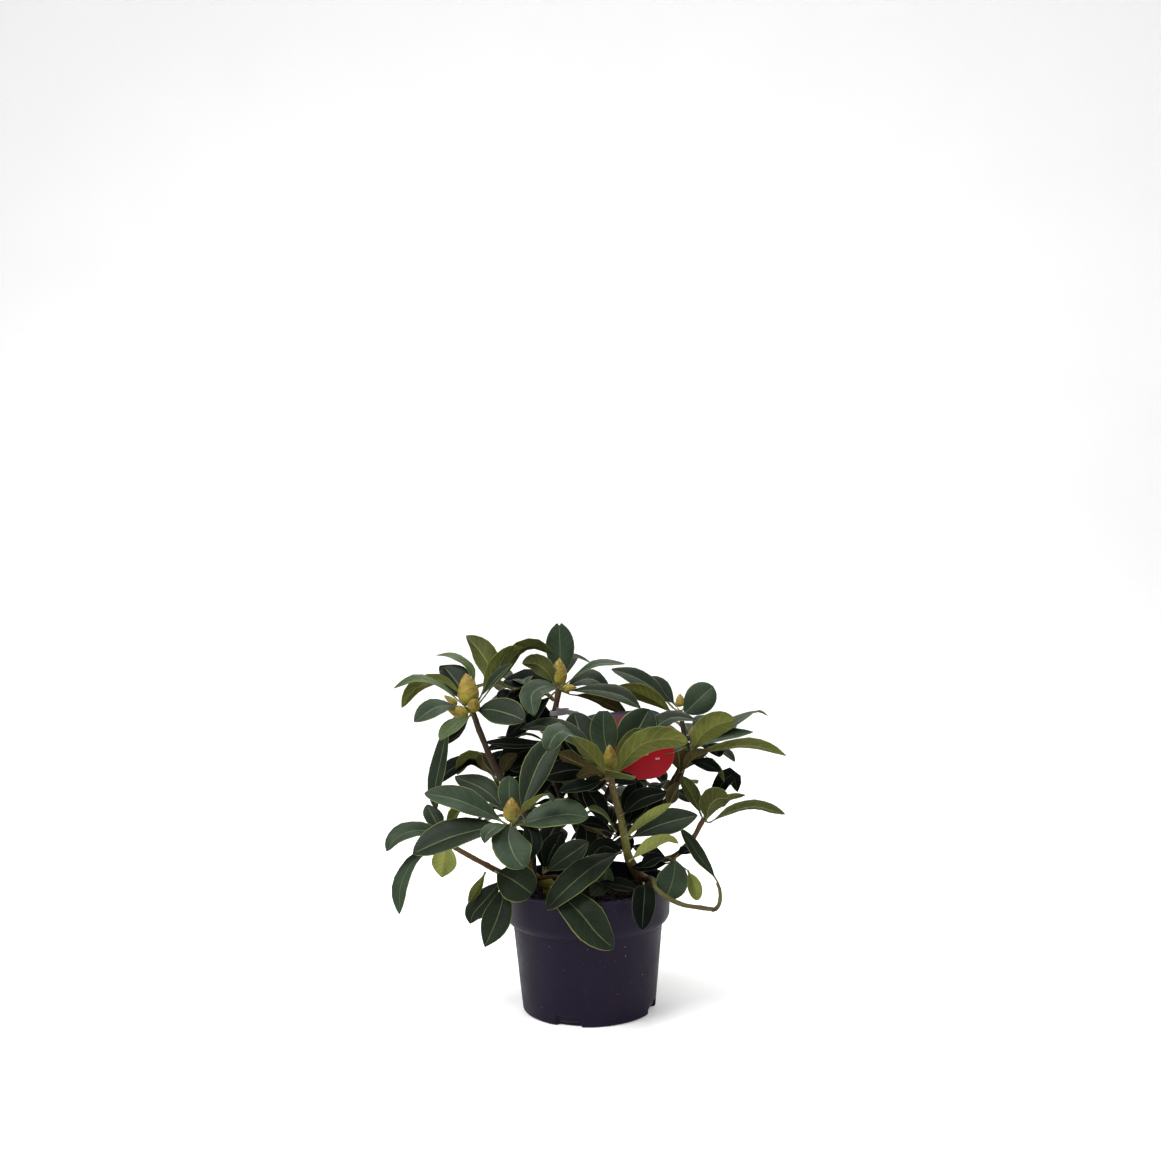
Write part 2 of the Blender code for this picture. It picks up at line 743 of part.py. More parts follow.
def whorls():
    """Every mass of leaves, the ones that lead the outline first."""
    return [
        Whorl("leaves_upper_left", HUB["upper_left"], by_eye("upper_left", [
            (-88, 25, 18, 18, 20), (-65, -11, 48, 26, 8), (-36, -34, 60, 18, 6),
            (59, -12, 50, 34, 4), (46, 52, 22, 14, 2), (92, 63, -28, 28, 26),
            (-3, 84, -28, 56, 2), (-34, 52, -48, 34, 4),
        ])),
        Whorl("leaves_top", HUB["top"], by_eye("top", [
            (36, 29, -62, 12, 4), (75, 27, 22, 13, 13), (92, -24, 24, 26, 16),
            (-28, -32, 58, 36, 4), (-44, 32, 12, 30, 4), (-64, 8, -48, 38, 8), (-20, 20, -74, 36, 6),
        ])),
        Whorl("leaves_centre", HUB["centre"], by_eye("centre", [
            (44, 70, -12, 24, 2), (95, 58, -6, 28, 8), (86, 33, 30, 28, 6), (24, -8, 66, 32, 6),
            (-56, -20, 46, 32, 6), (-70, 24, 45, 36, 12), (-100, 47, -16, 34, 8),
        ])),
        Whorl("leaves_front_left", HUB["front_left"], by_eye("front_left", [
            (-95, 34, 6, 36, 6), (-62, 52, -38, 34, 2), (-3, 52, -12, 24, 1), (52, 94, -20, 30, 4),
            (83, 9, 18, 36, 6), (12, -47, 62, 44, 10), (-30, -21, 42, 20, 4), (-107, -30, 16, 42, 10),
        ])),
        Whorl("leaves_upper_right_tip", HUB["upper_right_tip"], by_eye("upper_right_tip", [
            (38, 30, 10, 38, 6), (-80, 46, -14, 28, 4), (-73, 27, 24, 26, 6), (-34, 12, -50, 30, 6),
            (34, 22, -56, 28, 6),
        ])),
        Whorl("leaves_upper_right", HUB["upper_right"], by_eye("upper_right", [
            (56, 36, 26, 38, 2), (92, 41, -34, 26, 14), (56, 30, -66, 28, 4), (112, -5, 14, 24, 14),
            (28, -22, 34, 30, 4), (-22, -4, 46, 28, 4), (-30, 20, -70, 30, 6),
        ])),
        Whorl("leaves_right", HUB["right"], by_eye("right", [
            (91, 6, 12, 22, 14), (30, 24, 44, 30, 4), (-26, 47, 14, 14, 1), (34, 46, -34, 30, 2),
            (4, 18, -62, 26, 4),
        ])),
        Whorl("leaves_far_left", HUB["far_left"], by_eye("far_left", [
            (-67, -3, 14, 30, 24), (-50, -75, 12, 28, 26),
            (-22, 28, -34, 28, 2), (20, 30, -46, 30, 2),
        ])),
        Whorl("leaves_middle_left", HUB["middle_left"], by_eye("middle_left", [
            (-66, 8, 12, 30, 8), (-34, 28, -24, 30, 4), (8, 34, -42, 30, 4), (46, 14, -30, 32, 6),
            (42, -16, 24, 32, 4), (-26, -18, 36, 30, 4),
        ])),
        Whorl("leaves_front", (-11.0, -44.0, 160.0), in_frame([
            (8, 20, 38, 30, 1), (-26, 6, 44, 34, 2), (44, 8, 10, 32, 4), (-40, -22, 4, 30, 4),
        ])),
        Whorl("leaves_rim_left", (-88.0, -53.0, 168.0), in_frame([
            (-22, -22, -73, 32, 3), (-36, 2, -52, 22, 0), (26, -16, -4, 34, 4), (-6, 18, 26, 26, 2),
        ])),
        Whorl("leaves_stem_right", (63.0, -30.0, 203.0), in_frame([
            (34, -12, 38, 18, 2), (42, -44, 8, 22, 4), (62, 22, 12, 32, 6), (6, 26, 40, 30, 1),
        ])),
        Whorl("leaves_stem_left", (26.0, -47.0, 204.0), in_frame([
            (-38, -6, 26, 24, 4), (-22, 24, 6, 30, 4), (-24, -30, -4, 26, 4),
        ])),
        Whorl("leaves_low_right", (97.0, -30.0, 175.0), in_frame([
            (-10, -30, -34, 34, 8), (26, -8, -42, 20, 0), (-34, 10, 6, 28, 4), (20, 24, 6, 22, 4),
        ])),
        Whorl("leaves_back_upper", HUB["back_upper"], ring_of_lobes(6, 66.0, 24.0, 0.2)),
        Whorl("leaves_back_left", HUB["back_left"], ring_of_lobes(7, 78.0, 42.0, 0.35)),
        Whorl("leaves_back", HUB["back"], ring_of_lobes(7, 78.0, 34.0, 0.1)),
        Whorl("leaves_back_right", HUB["back_right"], ring_of_lobes(6, 72.0, 24.0, 0.9)),
        Whorl("leaves_low_back_left", HUB["low_back_left"], ring_of_lobes(6, 78.0, 26.0, 0.7)),
        Whorl("leaves_low_back", HUB["low_back"], ring_of_lobes(6, 78.0, 26.0, 0.2)),
    ]


def blades():
    """Leaves that stand apart from a whorl."""
    return [
        Blade("leaf_top_upright", [(-27, 48, 372), (-27, 51, 400), (-27, 47, 436)], 36),
        Blade("leaf_centre_upright", [(24, -32, 291), (21, -31, 316), (21, -34, 345)], 32),
        Blade(
            "leaf_hanging_left",
            [(-152, 11, 332), (-157, 13, 309), (-165, 13, 279), (-170, 12, 250), (-168, 8, 227)],
            22,
        ),
        Blade("leaf_far_left_low", [(-149, -43, 190), (-151, -49, 176), (-154, -48, 161)], 21),
        Blade(
            "leaf_front_long",
            [(37, -40, 185), (14, -62, 181), (-8, -85, 171), (-30, -104, 156), (-43, -112, 144)],
            34, OVER_RIM,
        ),
        Blade(
            "leaf_over_rim",
            [(-34, -78, 153), (-21, -97, 150), (-6, -109, 136), (8, -115, 119), (26, -118, 102)],
            38, OVER_RIM,
        ),
        Blade(
            "leaf_rim_front",
            [(62, -62, 157), (62, -90, 156), (60, -103, 142), (58, -107, 119)],
            26, OVER_RIM,
        ),
        Blade(
            "leaf_bent_shoot",
            [(143, -47, 158), (131, -40, 170), (120, -32, 186), (107, -24, 206)],
            13,
        ),
    ]


def main():
    """Builds the plant and its pot."""
    clear_scene()
    frame = bpy.data.objects.new("rhododendron", None)
    bpy.context.scene.collection.objects.link(frame)
    placed = []

    make_pot(material("pot plastic", (0.022, 0.012, 0.026), 0.5), frame)
    make_root_ball(material("moist peat", (0.012, 0.008, 0.006), 0.95), frame)
    placed.append(tree_of(*pot_envelope()))

    bark = material("bark", (0.060, 0.036, 0.020), 0.8)
    young_bark = material("young bark", (0.110, 0.085, 0.030), 0.7)
    every_limb = limbs()
    carriers = {}
    for limb in every_limb:
        if any(other.carrier == limb.name for other in every_limb):
            cutter = add_object(limb.name + "_seat", limb.solid(JOINT_CLEARANCE), bark, frame)
            hide_cutter(cutter)
            carriers[limb.name] = cutter
    for limb in every_limb:
        limb.build(bark if limb.carrier is None else young_bark, frame, carriers)
        placed.append(tree_of(*limb.solid()))

    bud_scale = material("bud scales", (0.300, 0.190, 0.050), 0.6)
    make_bud("bud_upper_left", (-129, -4, 352), (-0.1, -0.06, 1), 24, 33, bud_scale, frame, placed)
    make_bud("bud_top", (-28, 34, 368.5), (0.02, -0.04, 1), 18, 27, bud_scale, frame, placed)
    make_bud("bud_centre", (28, -46, 284.5), (-0.03, -0.05, 1), 15, 24, bud_scale, frame, placed)
    make_bud("bud_front_left", (-80, -87, 236.5), (0.0, -0.05, 1), 18, 23, bud_scale, frame, placed)
    make_bud("bud_upper_right", (112, 50, 337), (-0.02, 0, 1), 10, 13, bud_scale, frame, placed)

    make_label(
        material("label card", (0.430, 0.006, 0.012), 0.35),
        material("label strap", (0.350, 0.350, 0.380), 0.4),
        frame,
        placed,
    )

    leaf = material("leaves", (0.035, 0.070, 0.032), 0.45)
    for blade in blades():
        blade.build(leaf, frame, placed)
    for whorl in whorls():
        whorl.build(leaf, frame, placed)


main()
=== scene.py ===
"""A young rhododendron in its nursery pot: the looks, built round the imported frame.

The frame is the pot's own: the origin is the centre of its flat underside, +Z is up and the side that
faces the viewer is -Y. Sizes are in millimetres and turned into metres by MM. The leaves of each whorl
that the viewer sees are laid out one by one in the viewer's own directions (right, up, near) from the
tip of their shoot; those at the back grow by a seeded rule.
"""

from __future__ import annotations

import logging
import math
from dataclasses import dataclass, field
from enum import Enum

import bpy
import numpy as np
from mathutils import Matrix

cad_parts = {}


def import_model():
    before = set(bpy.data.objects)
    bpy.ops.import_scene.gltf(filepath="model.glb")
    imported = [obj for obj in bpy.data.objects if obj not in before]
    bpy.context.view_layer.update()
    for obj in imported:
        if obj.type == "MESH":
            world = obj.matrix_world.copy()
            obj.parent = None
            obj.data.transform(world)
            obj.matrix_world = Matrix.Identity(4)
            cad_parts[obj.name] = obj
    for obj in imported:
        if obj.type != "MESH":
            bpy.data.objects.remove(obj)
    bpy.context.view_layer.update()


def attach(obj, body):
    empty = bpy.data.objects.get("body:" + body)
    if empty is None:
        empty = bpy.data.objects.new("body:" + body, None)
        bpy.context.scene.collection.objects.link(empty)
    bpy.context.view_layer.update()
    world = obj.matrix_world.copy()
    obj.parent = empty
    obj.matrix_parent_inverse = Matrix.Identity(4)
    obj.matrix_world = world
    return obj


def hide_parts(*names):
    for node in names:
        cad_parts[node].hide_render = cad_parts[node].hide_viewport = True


Array = np.ndarray
Colour = tuple[float, float, float]
Spot = tuple[float, float, float]
Socket = bpy.types.NodeSocket

MM = 0.001
LOG = logging.getLogger("rhododendron")

EYE = np.array([-1.4, -1750.0, 600.0])
EYE_PITCH = math.radians(3.689)
EYE_ROLL = math.radians(1.026)
LENS_MM = 48.34
SENSOR_MM = 36.0

UP = np.array([0.0, 0.0, 1.0])
TURN = 2.0 * math.pi
GOLDEN = math.radians(137.508)
SPLINE_STEPS = 16
PIPE_LEAD = (0.31, 0.95, 0.05)
AIM_HEIGHT = 220.0
SHOWN_SEED = 100
BACK_SEED = 200
VEINS_ALONG = 9.0
VEIN_SLANT = 3.2
DIM = 0.72
LIT = 1.28


def unit(vectors: Array) -> Array:
    """Each vector divided by its own length."""
    return vectors / np.maximum(np.linalg.norm(vectors, axis=-1, keepdims=True), 1e-9)


def ease(values: Array) -> Array:
    """The share 3t^2 - 2t^3 of values held between 0 and 1."""
    held = np.clip(values, 0.0, 1.0)
    return held * held * (3.0 - 2.0 * held)


def spline(corners: Array, stations: Array) -> Array:
    """Points on a Catmull-Rom curve.

    Each span between two corners is a cubic of its own share t, whose slope at a corner is half the
    line between that corner's neighbours. The cubics are laid end to end and read off by length.

    Args:
        corners: Points that the curve passes through, in order.
        stations: Shares of the whole length, from 0 to 1.

    Returns:
        One point for each station.
    """
    given = np.asarray(corners, float)
    padded = np.vstack([2 * given[0] - given[1], given, 2 * given[-1] - given[-2]])
    spans = np.stack([padded[index : index + len(given) - 1] for index in range(4)], axis=1)
    t = np.linspace(0.0, 1.0, SPLINE_STEPS, endpoint=False)[None, :, None]
    p0, p1, p2, p3 = (spans[:, index, None, :] for index in range(4))
    fine = 0.5 * (
        2 * p1
        + (p2 - p0) * t
        + (2 * p0 - 5 * p1 + 4 * p2 - p3) * t**2
        + (3 * p1 - p0 - 3 * p2 + p3) * t**3
    )
    fine = np.vstack([fine.reshape(-1, 3), given[-1:]])
    run = np.concatenate([[0.0], np.cumsum(np.linalg.norm(np.diff(fine, axis=0), axis=1))])
    wanted = stations * run[-1]
    return np.stack([np.interp(wanted, run, fine[:, axis]) for axis in range(3)], axis=1)


def grid_faces(rows: int, columns: int, wrap: bool = False) -> Array:
    """Quads of a grid, row by row.

    The corner order is (row, column), (row, next column), (next row, next column), (next row, column),
    which faces along columns x rows.

    Args:
        rows: Points down the grid.
        columns: Points across the grid.
        wrap: Joins the last column to the first.

    Returns:
        An array of four point numbers for each quad.
    """
    across = columns if wrap else columns - 1
    row, column = np.meshgrid(np.arange(rows - 1), np.arange(across), indexing="ij")
    after = (column + 1) % columns
    here, below = row * columns, (row + 1) * columns
    return np.stack([here + column, here + after, below + after, below + column], -1).reshape(-1, 4)


@dataclass
class Pile:
    """Meshes gathered into one: points, faces of any number of corners, finishes and maps."""

    points: list[Array] = field(default_factory=list)
    loops: list[Array] = field(default_factory=list)
    totals: list[Array] = field(default_factory=list)
    slots: list[Array] = field(default_factory=list)
    maps: list[Array] = field(default_factory=list)
    count: int = 0

    def add(self, points: Array, faces: list[tuple[Array, Array]], uv: Array | None = None) -> None:
        """Adds a mesh.

        Args:
            points: Its points in millimetres.
            faces: Pairs of an array of faces with the same number of corners and their finishes.
            uv: Each point's place on the map, or none.
        """
        places = np.zeros((len(points), 2)) if uv is None else uv
        for corners, slots in faces:
            self.loops.append((corners + self.count).ravel())
            self.totals.append(np.full(len(corners), corners.shape[1]))
            self.slots.append(np.broadcast_to(slots, (len(corners),)))
            self.maps.append(places[corners.ravel()])
        self.points.append(points)
        self.count += len(points)

    def build(self, name: str, finishes: list[bpy.types.Material]) -> bpy.types.Object:
        """Makes the gathered mesh a smooth object at the origin, with a map named Layout.

        Args:
            name: The piece's name.
            finishes: Its materials, in the order of the finishes' numbers.

        Returns:
            The object.
        """
        points = np.vstack(self.points) * MM
        loops, totals = np.concatenate(self.loops), np.concatenate(self.totals)
        mesh = bpy.data.meshes.new(name)
        mesh.vertices.add(len(points))
        mesh.vertices.foreach_set("co", points.astype(np.float32).ravel())
        mesh.loops.add(len(loops))
        mesh.loops.foreach_set("vertex_index", loops.astype(np.int32))
        mesh.polygons.add(len(totals))
        starts = np.concatenate([[0], np.cumsum(totals)[:-1]])
        mesh.polygons.foreach_set("loop_start", starts.astype(np.int32))
        mesh.polygons.foreach_set("loop_total", totals.astype(np.int32))
        mesh.polygons.foreach_set("material_index", np.concatenate(self.slots).astype(np.int32))
        layout = mesh.uv_layers.new(name="Layout")
        layout.data.foreach_set("uv", np.vstack(self.maps).astype(np.float32).ravel())
        for finish in finishes:
            mesh.materials.append(finish)
        mesh.update(calc_edges=True)
        mesh.validate()
        mesh.shade_smooth()
        made = bpy.data.objects.new(name, mesh)
        bpy.context.scene.collection.objects.link(made)
        return made


def settle(piece: bpy.types.Object, slot: str, *nodes: str) -> bpy.types.Object:
    """Rides a finished piece on the plant, hides the CAD nodes that it stands for, and logs it with them.

    Args:
        piece: The piece.
        slot: Its material slot in the record; not used.
        *nodes: The CAD nodes that it stands for, if any.

    Returns:
        The same piece.
    """
    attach(piece, "root")
    if nodes:
        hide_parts(*nodes)
    LOG.info("%s: %d faces, for %s", piece.name, len(piece.data.polygons), ", ".join(nodes) or "-")
    return piece


def closed_sheet(top: Array, under: Array, upper: Array, lower: Array, rim: int) -> tuple[Array, list]:
    """A thin closed piece between two grids of the same shape.

    The top grid faces outwards as it is, the lower one is turned over with its quads split along the
    same diagonals, so that the two never cross, and four strips join their edges.

    Args:
        top: Points of the upper skin, rows x columns x 3.
        under: Points of the lower skin.
        upper: Finish of each cell of the upper skin.
        lower: Finish of each cell of the lower skin.
        rim: Finish of the edge strips.

    Returns:
        The points, and the faces with their finishes.
    """
    rows, columns, _ = top.shape
    quads = grid_faces(rows, columns)
    half = rows * columns
    left, right = np.arange(rows) * columns, np.arange(rows) * columns + columns - 1
    first, last = np.arange(columns), (rows - 1) * columns + np.arange(columns)
    strips = []
    for edge in (left, right[::-1], first[::-1], last):
        strips.append(np.stack([edge[:-1], edge[1:], edge[1:] + half, edge[:-1] + half], -1))
    points = np.vstack([top.reshape(-1, 3), under.reshape(-1, 3)])
    return points, [
        (quads, upper.ravel()),
        ((quads + half)[:, [0, 3, 2, 1]], lower.ravel()),
        (np.vstack(strips), np.array(rim)),
    ]


def tube_faces(rows: int, columns: int) -> list[tuple[Array, Array]]:
    """Faces of a closed turned body, in the first finish.

    The wall is a grid whose last column joins its first, and its first and last rows are capped.

    Args:
        rows: Rings along the body.
        columns: Corners of a ring.

    Returns:
        The wall's quads and the two caps, each with their finish.
    """
    last = (rows - 1) * columns
    caps = np.stack([np.arange(columns)[::-1], last + np.arange(columns)])
    return [(grid_faces(rows, columns, wrap=True), np.array(0)), (caps, np.array(0))]


def pipe(path: Array, radii: Array, sides: int) -> tuple[Array, list]:
    """A closed round sweep whose ends are capped.

    A ring is drawn square to the path at each point: centre + radius * (cos a * side + sin a * other),
    where side is square to the path and to one slanting direction, PIPE_LEAD.

    Args:
        path: Centre points.
        radii: One radius for each point, or for each point and each side.
        sides: Corners of a ring.

    Returns:
        The points, and the faces with their finishes.
    """
    tangents = unit(np.gradient(path, axis=0))
    side = unit(np.cross(tangents, PIPE_LEAD))
    other = np.cross(tangents, side)
    angles = np.linspace(0.0, TURN, sides, endpoint=False)
    spread = np.broadcast_to(radii if radii.ndim == 2 else radii[:, None], (len(path), sides))
    ring = np.cos(angles)[None, :, None] * side[:, None] + np.sin(angles)[None, :, None] * other[:, None]
    points = (path[:, None] + spread[..., None] * ring).reshape(-1, 3)
    return points, tube_faces(len(path), sides)


class Graph:
    """A material's node tree with short ways to add and join nodes."""

    def __init__(self, name: str, roughness: float, gloss: float = 0.5) -> None:
        """Starts a Principled material with its plain values set on the shader's own sockets.

        Args:
            name: The finish's name.
            roughness: How matt it is.
            gloss: Its specular level.
        """
        self.material = bpy.data.materials.new(name)
        self.material.use_nodes = True
        self.tree = self.material.node_tree
        self.shader = self.tree.nodes["Principled BSDF"]
        self.shader.inputs["Roughness"].default_value = roughness
        self.shader.inputs["Specular IOR Level"].default_value = gloss

    def node(self, kind: str, joins: dict | None = None, **settings: object) -> bpy.types.Node:
        """Adds a node, sets its properties, and fills or joins its inputs.

        Args:
            kind: Blender's name of the node.
            joins: A socket or a value for each input, by name or number.
            **settings: Properties of the node.

        Returns:
            The node.
        """
        made = self.tree.nodes.new(kind)
        for key, value in settings.items():
            setattr(made, key, value)
        for key, value in (joins or {}).items():
            if isinstance(value, Socket):
                self.tree.links.new(value, made.inputs[key])
            else:
                made.inputs[key].default_value = value
        return made

    def place(self, output: str = "Object") -> Socket:
        """The coordinates that a pattern is laid on."""
        return self.node("ShaderNodeTexCoord").outputs[output]

    def noise(self, scale: float, detail: float = 3.0) -> Socket:
        """Noise of a scale per metre on the object's own coordinates, as a number from 0 to 1."""
        joins = {"Vector": self.place(), "Scale": scale, "Detail": detail}
        return self.node("ShaderNodeTexNoise", joins).outputs["Fac"]

    def math(self, operation: str, *values: object) -> Socket:
        """One sum of one to three numbers or sockets."""
        joins = dict(enumerate(values))
        return self.node("ShaderNodeMath", joins, operation=operation).outputs[0]

    def reach(self, value: Socket, low: float, high: float, start: float = 0.0, end: float = 1.0) -> Socket:
        """A number carried from one span to another and held inside it."""
        joins = {"Value": value, "From Min": low, "From Max": high, "To Min": start, "To Max": end}
        return self.node("ShaderNodeMapRange", joins).outputs["Result"]

    def blend(self, share: object, first: object, second: object) -> Socket:
        """Two colours mixed by a share.

        Args:
            share: How much of the second there is, a number or a socket.
            first: A colour or a socket.
            second: A colour or a socket.

        Returns:
            The mixed colour.
        """
        made = self.node("ShaderNodeMix", data_type="RGBA")
        for index, value in ((0, share), (6, first), (7, second)):
            if isinstance(value, Socket):
                self.tree.links.new(value, made.inputs[index])
            elif index == 0:
                made.inputs[index].default_value = value
            else:
                made.inputs[index].default_value = (*value, 1.0)
        return made.outputs[2]

    def bump(self, height: Socket, strength: float, distance: float) -> None:
        """Relief of a height in metres on the shader's normal."""
        joins = {"Height": height, "Strength": strength, "Distance": distance}
        self.join(self.node("ShaderNodeBump", joins).outputs["Normal"], "Normal")

    def join(self, socket: Socket, name: str) -> None:
        """Joins a socket to one of the shader's inputs."""
        self.tree.links.new(socket, self.shader.inputs[name])

    def plain(self, colour: Colour) -> None:
        """One colour all over."""
        self.shader.inputs["Base Color"].default_value = (*colour, 1.0)


def shade(colour: Colour, factor: float) -> Colour:
    """A colour made lighter or darker by a factor."""
    return tuple(min(1.0, part * factor) for part in colour)


@dataclass(frozen=True)
class LeafSkin:
    """The leathery skin of a leaf, with its side veins pressed in or standing out."""

    name: str
    colour: Colour
    roughness: float
    veins: float = 0.35
    pale_veins: float = 0.12
    gloss: float = 0.09

    def make(self) -> bpy.types.Material:
        """Mottled colour, veins that leave the midrib at a slant, and fine pebbling.

        The veins are the crests of a wave whose phase is nine times the share along the leaf less
        1.6 times the share out from the midrib.

        Returns:
            The material.
        """
        graph = Graph(self.name, self.roughness, self.gloss)
        layout = graph.node("ShaderNodeSeparateXYZ", {0: graph.place("UV")})
        out = graph.math("ABSOLUTE", graph.math("SUBTRACT", layout.outputs[0], 0.5))
        along = graph.math("MULTIPLY", layout.outputs[1], VEINS_ALONG)
        phase = graph.math("SUBTRACT", along, graph.math("MULTIPLY", out, VEIN_SLANT))
        crest = graph.math("SINE", graph.math("MULTIPLY", phase, TURN))
        vein = graph.reach(crest, 0.72, 1.0)
        mottle = graph.reach(graph.noise(34.0, 4.0), 0.32, 0.68)
        base = graph.blend(mottle, shade(self.colour, DIM), shade(self.colour, LIT))
        share = graph.math("MULTIPLY", vein, self.pale_veins)
        graph.join(graph.blend(share, base, shade(self.colour, 2.6)), "Base Color")
        pebble = graph.math("MULTIPLY", graph.noise(1500.0, 2.0), 0.25)
        height = graph.math("ADD", graph.math("MULTIPLY", vein, -self.veins), pebble)
        graph.bump(height, 0.5, 0.0004)
        return graph.material


@dataclass(frozen=True)
class PlainSkin:
    """A small part of one colour, lightly mottled."""

    name: str
    colour: Colour
    roughness: float
    spread: float = 0.2

    def make(self) -> bpy.types.Material:
        """The colour moved a little lighter and darker by noise.

        Returns:
            The material.
        """
        graph = Graph(self.name, self.roughness, 0.22)
        mottle = graph.reach(graph.noise(90.0, 3.0), 0.3, 0.7)
        low, high = shade(self.colour, 1.0 - self.spread), shade(self.colour, 1.0 + self.spread)
        graph.join(graph.blend(mottle, low, high), "Base Color")
        graph.bump(graph.noise(900.0, 2.0), 0.25, 0.0003)
        return graph.material


@dataclass(frozen=True)
class Bark:
    """The skin of a shoot, which changes from its foot to its tip."""

    name: str
    foot: Colour
    middle: Colour
    tip: Colour
    roughness: float = 0.62

    def make(self) -> bpy.types.Material:
        """Three colours along the shoot, streaked and freckled, with fine cracks.

        Returns:
            The material.
        """
        graph = Graph(self.name, self.roughness, 0.2)
        layout = graph.node("ShaderNodeSeparateXYZ", {0: graph.place("UV")})
        ramp = graph.node("ShaderNodeValToRGB", {0: layout.outputs[1]})
        ramp.color_ramp.elements[0].color = (*self.foot, 1.0)
        ramp.color_ramp.elements[1].color = (*self.tip, 1.0)
        middle = ramp.color_ramp.elements.new(0.45)
        middle.color = (*self.middle, 1.0)
        streak = graph.reach(graph.noise(160.0, 4.0), 0.35, 0.7)
        base = graph.blend(graph.math("MULTIPLY", streak, 0.45), ramp.outputs[0], shade(self.foot, 0.5))
        freckle = graph.math("MULTIPLY", graph.reach(graph.noise(620.0, 1.0), 0.64, 0.7), 0.5)
        graph.join(graph.blend(freckle, base, shade(self.middle, 2.0)), "Base Color")
        graph.bump(graph.noise(480.0, 5.0), 0.6, 0.0008)
        return graph.material


@dataclass(frozen=True)
class PotPlastic:
    """Matt moulded plastic with dust in its grain."""

    name: str = "pot plastic"
    colour: Colour = (0.0062, 0.0034, 0.0132)
    dust: Colour = (0.026, 0.018, 0.032)

    def make(self) -> bpy.types.Material:
        """Dark plastic under thin dust, with pale flecks where a fine noise peaks.

        Returns:
            The material.
        """
        graph = Graph(self.name, 0.5, 0.09)
        cloud = graph.reach(graph.noise(26.0, 6.0), 0.42, 0.8, 0.0, 0.26)
        grain = graph.reach(graph.noise(1300.0, 2.0), 0.5, 0.75, 0.0, 0.5)
        share = graph.math("MAXIMUM", cloud, graph.math("MULTIPLY", grain, 0.6))
        dusted = graph.blend(share, self.colour, self.dust)
        fleck = graph.reach(graph.noise(420.0, 1.0), 0.745, 0.78, 0.0, 0.25)
        graph.join(graph.blend(fleck, dusted, (0.16, 0.13, 0.13)), "Base Color")
        graph.join(graph.reach(cloud, 0.0, 0.26, 0.44, 0.62), "Roughness")
        graph.bump(graph.noise(1700.0, 3.0), 0.35, 0.0003)
        return graph.material


@dataclass(frozen=True)
class Peat:
    """Damp dark peat."""

    name: str = "damp peat"
    colour: Colour = (0.0060, 0.0042, 0.0034)

    def make(self) -> bpy.types.Material:
        """Near black with brown fibres, deeply grained.

        Returns:
            The material.
        """
        graph = Graph(self.name, 0.86, 0.12)
        fibre = graph.reach(graph.noise(700.0, 4.0), 0.5, 0.72)
        graph.join(graph.blend(fibre, self.colour, (0.026, 0.017, 0.011)), "Base Color")
        graph.bump(graph.noise(900.0, 5.0), 0.9, 0.0014)
        return graph.material


@dataclass(frozen=True)
class Film:
    """Printed or clear plastic film."""

    name: str
    colour: Colour
    roughness: float = 0.28

    def make(self) -> bpy.types.Material:
        """A plain colour under a faint mottle and soft creases.

        Returns:
            The material.
        """
        graph = Graph(self.name, self.roughness, 0.25)
        mottle = graph.reach(graph.noise(60.0, 2.0), 0.3, 0.7)
        graph.join(graph.blend(mottle, shade(self.colour, 0.9), shade(self.colour, 1.08)), "Base Color")
        graph.bump(graph.noise(70.0, 2.0), 0.2, 0.001)
        return graph.material


class Top(Enum):
    """Tones of a leaf's upper side; the darkest is painted shade, a near-black copy for leaves that lie in
    shadow.
    """

    # painted shade: a near-black leaf top for leaves that lie in shadow
    PAINTED_SHADE = 0
    DEEP = 1
    MID = 2
    # partly a lighter leaf and partly a painted highlight on tops that catch the light
    BRIGHT_WITH_HIGHLIGHT = 3


class Under(Enum):
    """Tones of a leaf's underside; the last is the olive darkened as painted shade, for undersides in shadow.
    """

    OLIVE = 4
    BROWN = 5
    PALE = 6
    # painted shade: the olive underside darkened for undersides in shadow
    OLIVE_IN_PAINTED_SHADE = 12


# The last two are the margin and midrib darkened as painted shade, for leaves in the painted-shade tone.
MARGIN, RIB, UNDER_RIB, PAINTED_SHADE_MARGIN, PAINTED_SHADE_RIB = 7, 8, 9, 10, 11

LEAF_SKINS = (
    # painted shade: the near-black top for leaves that lie in shadow
    LeafSkin("leaf top painted shade", (0.0026, 0.0041, 0.0025), 0.62, gloss=0.03),
    LeafSkin("leaf top deep", (0.0105, 0.0162, 0.0084), 0.5),
    LeafSkin("leaf top mid", (0.0215, 0.0335, 0.0185), 0.48),
    # partly a lighter leaf and partly a painted highlight
    LeafSkin("leaf top bright and painted highlight", (0.0400, 0.0590, 0.0205), 0.48),
    LeafSkin("leaf under olive", (0.0780, 0.0860, 0.0170), 0.62, -0.3, 0.2),
    LeafSkin("leaf under brown", (0.0460, 0.0360, 0.0120), 0.64, -0.3, 0.2),
    LeafSkin("leaf under pale", (0.1350, 0.1480, 0.0360), 0.62, -0.3, 0.2),
    PlainSkin("leaf margin", (0.1050, 0.1300, 0.0320), 0.55),
    PlainSkin("leaf midrib", (0.0560, 0.0790, 0.0310), 0.5),
    PlainSkin("leaf under midrib", (0.1300, 0.1250, 0.0340), 0.55),
    # painted shade: margin and midrib darkened for leaves in shadow
    PlainSkin("leaf margin in painted shade", (0.0320, 0.0380, 0.0120), 0.55),
    PlainSkin("leaf midrib in painted shade", (0.0150, 0.0220, 0.0100), 0.5),
    # painted shade: the olive underside darkened
    LeafSkin("leaf under olive painted shade", (0.0440, 0.0500, 0.0125), 0.62, -0.3, 0.2),
)


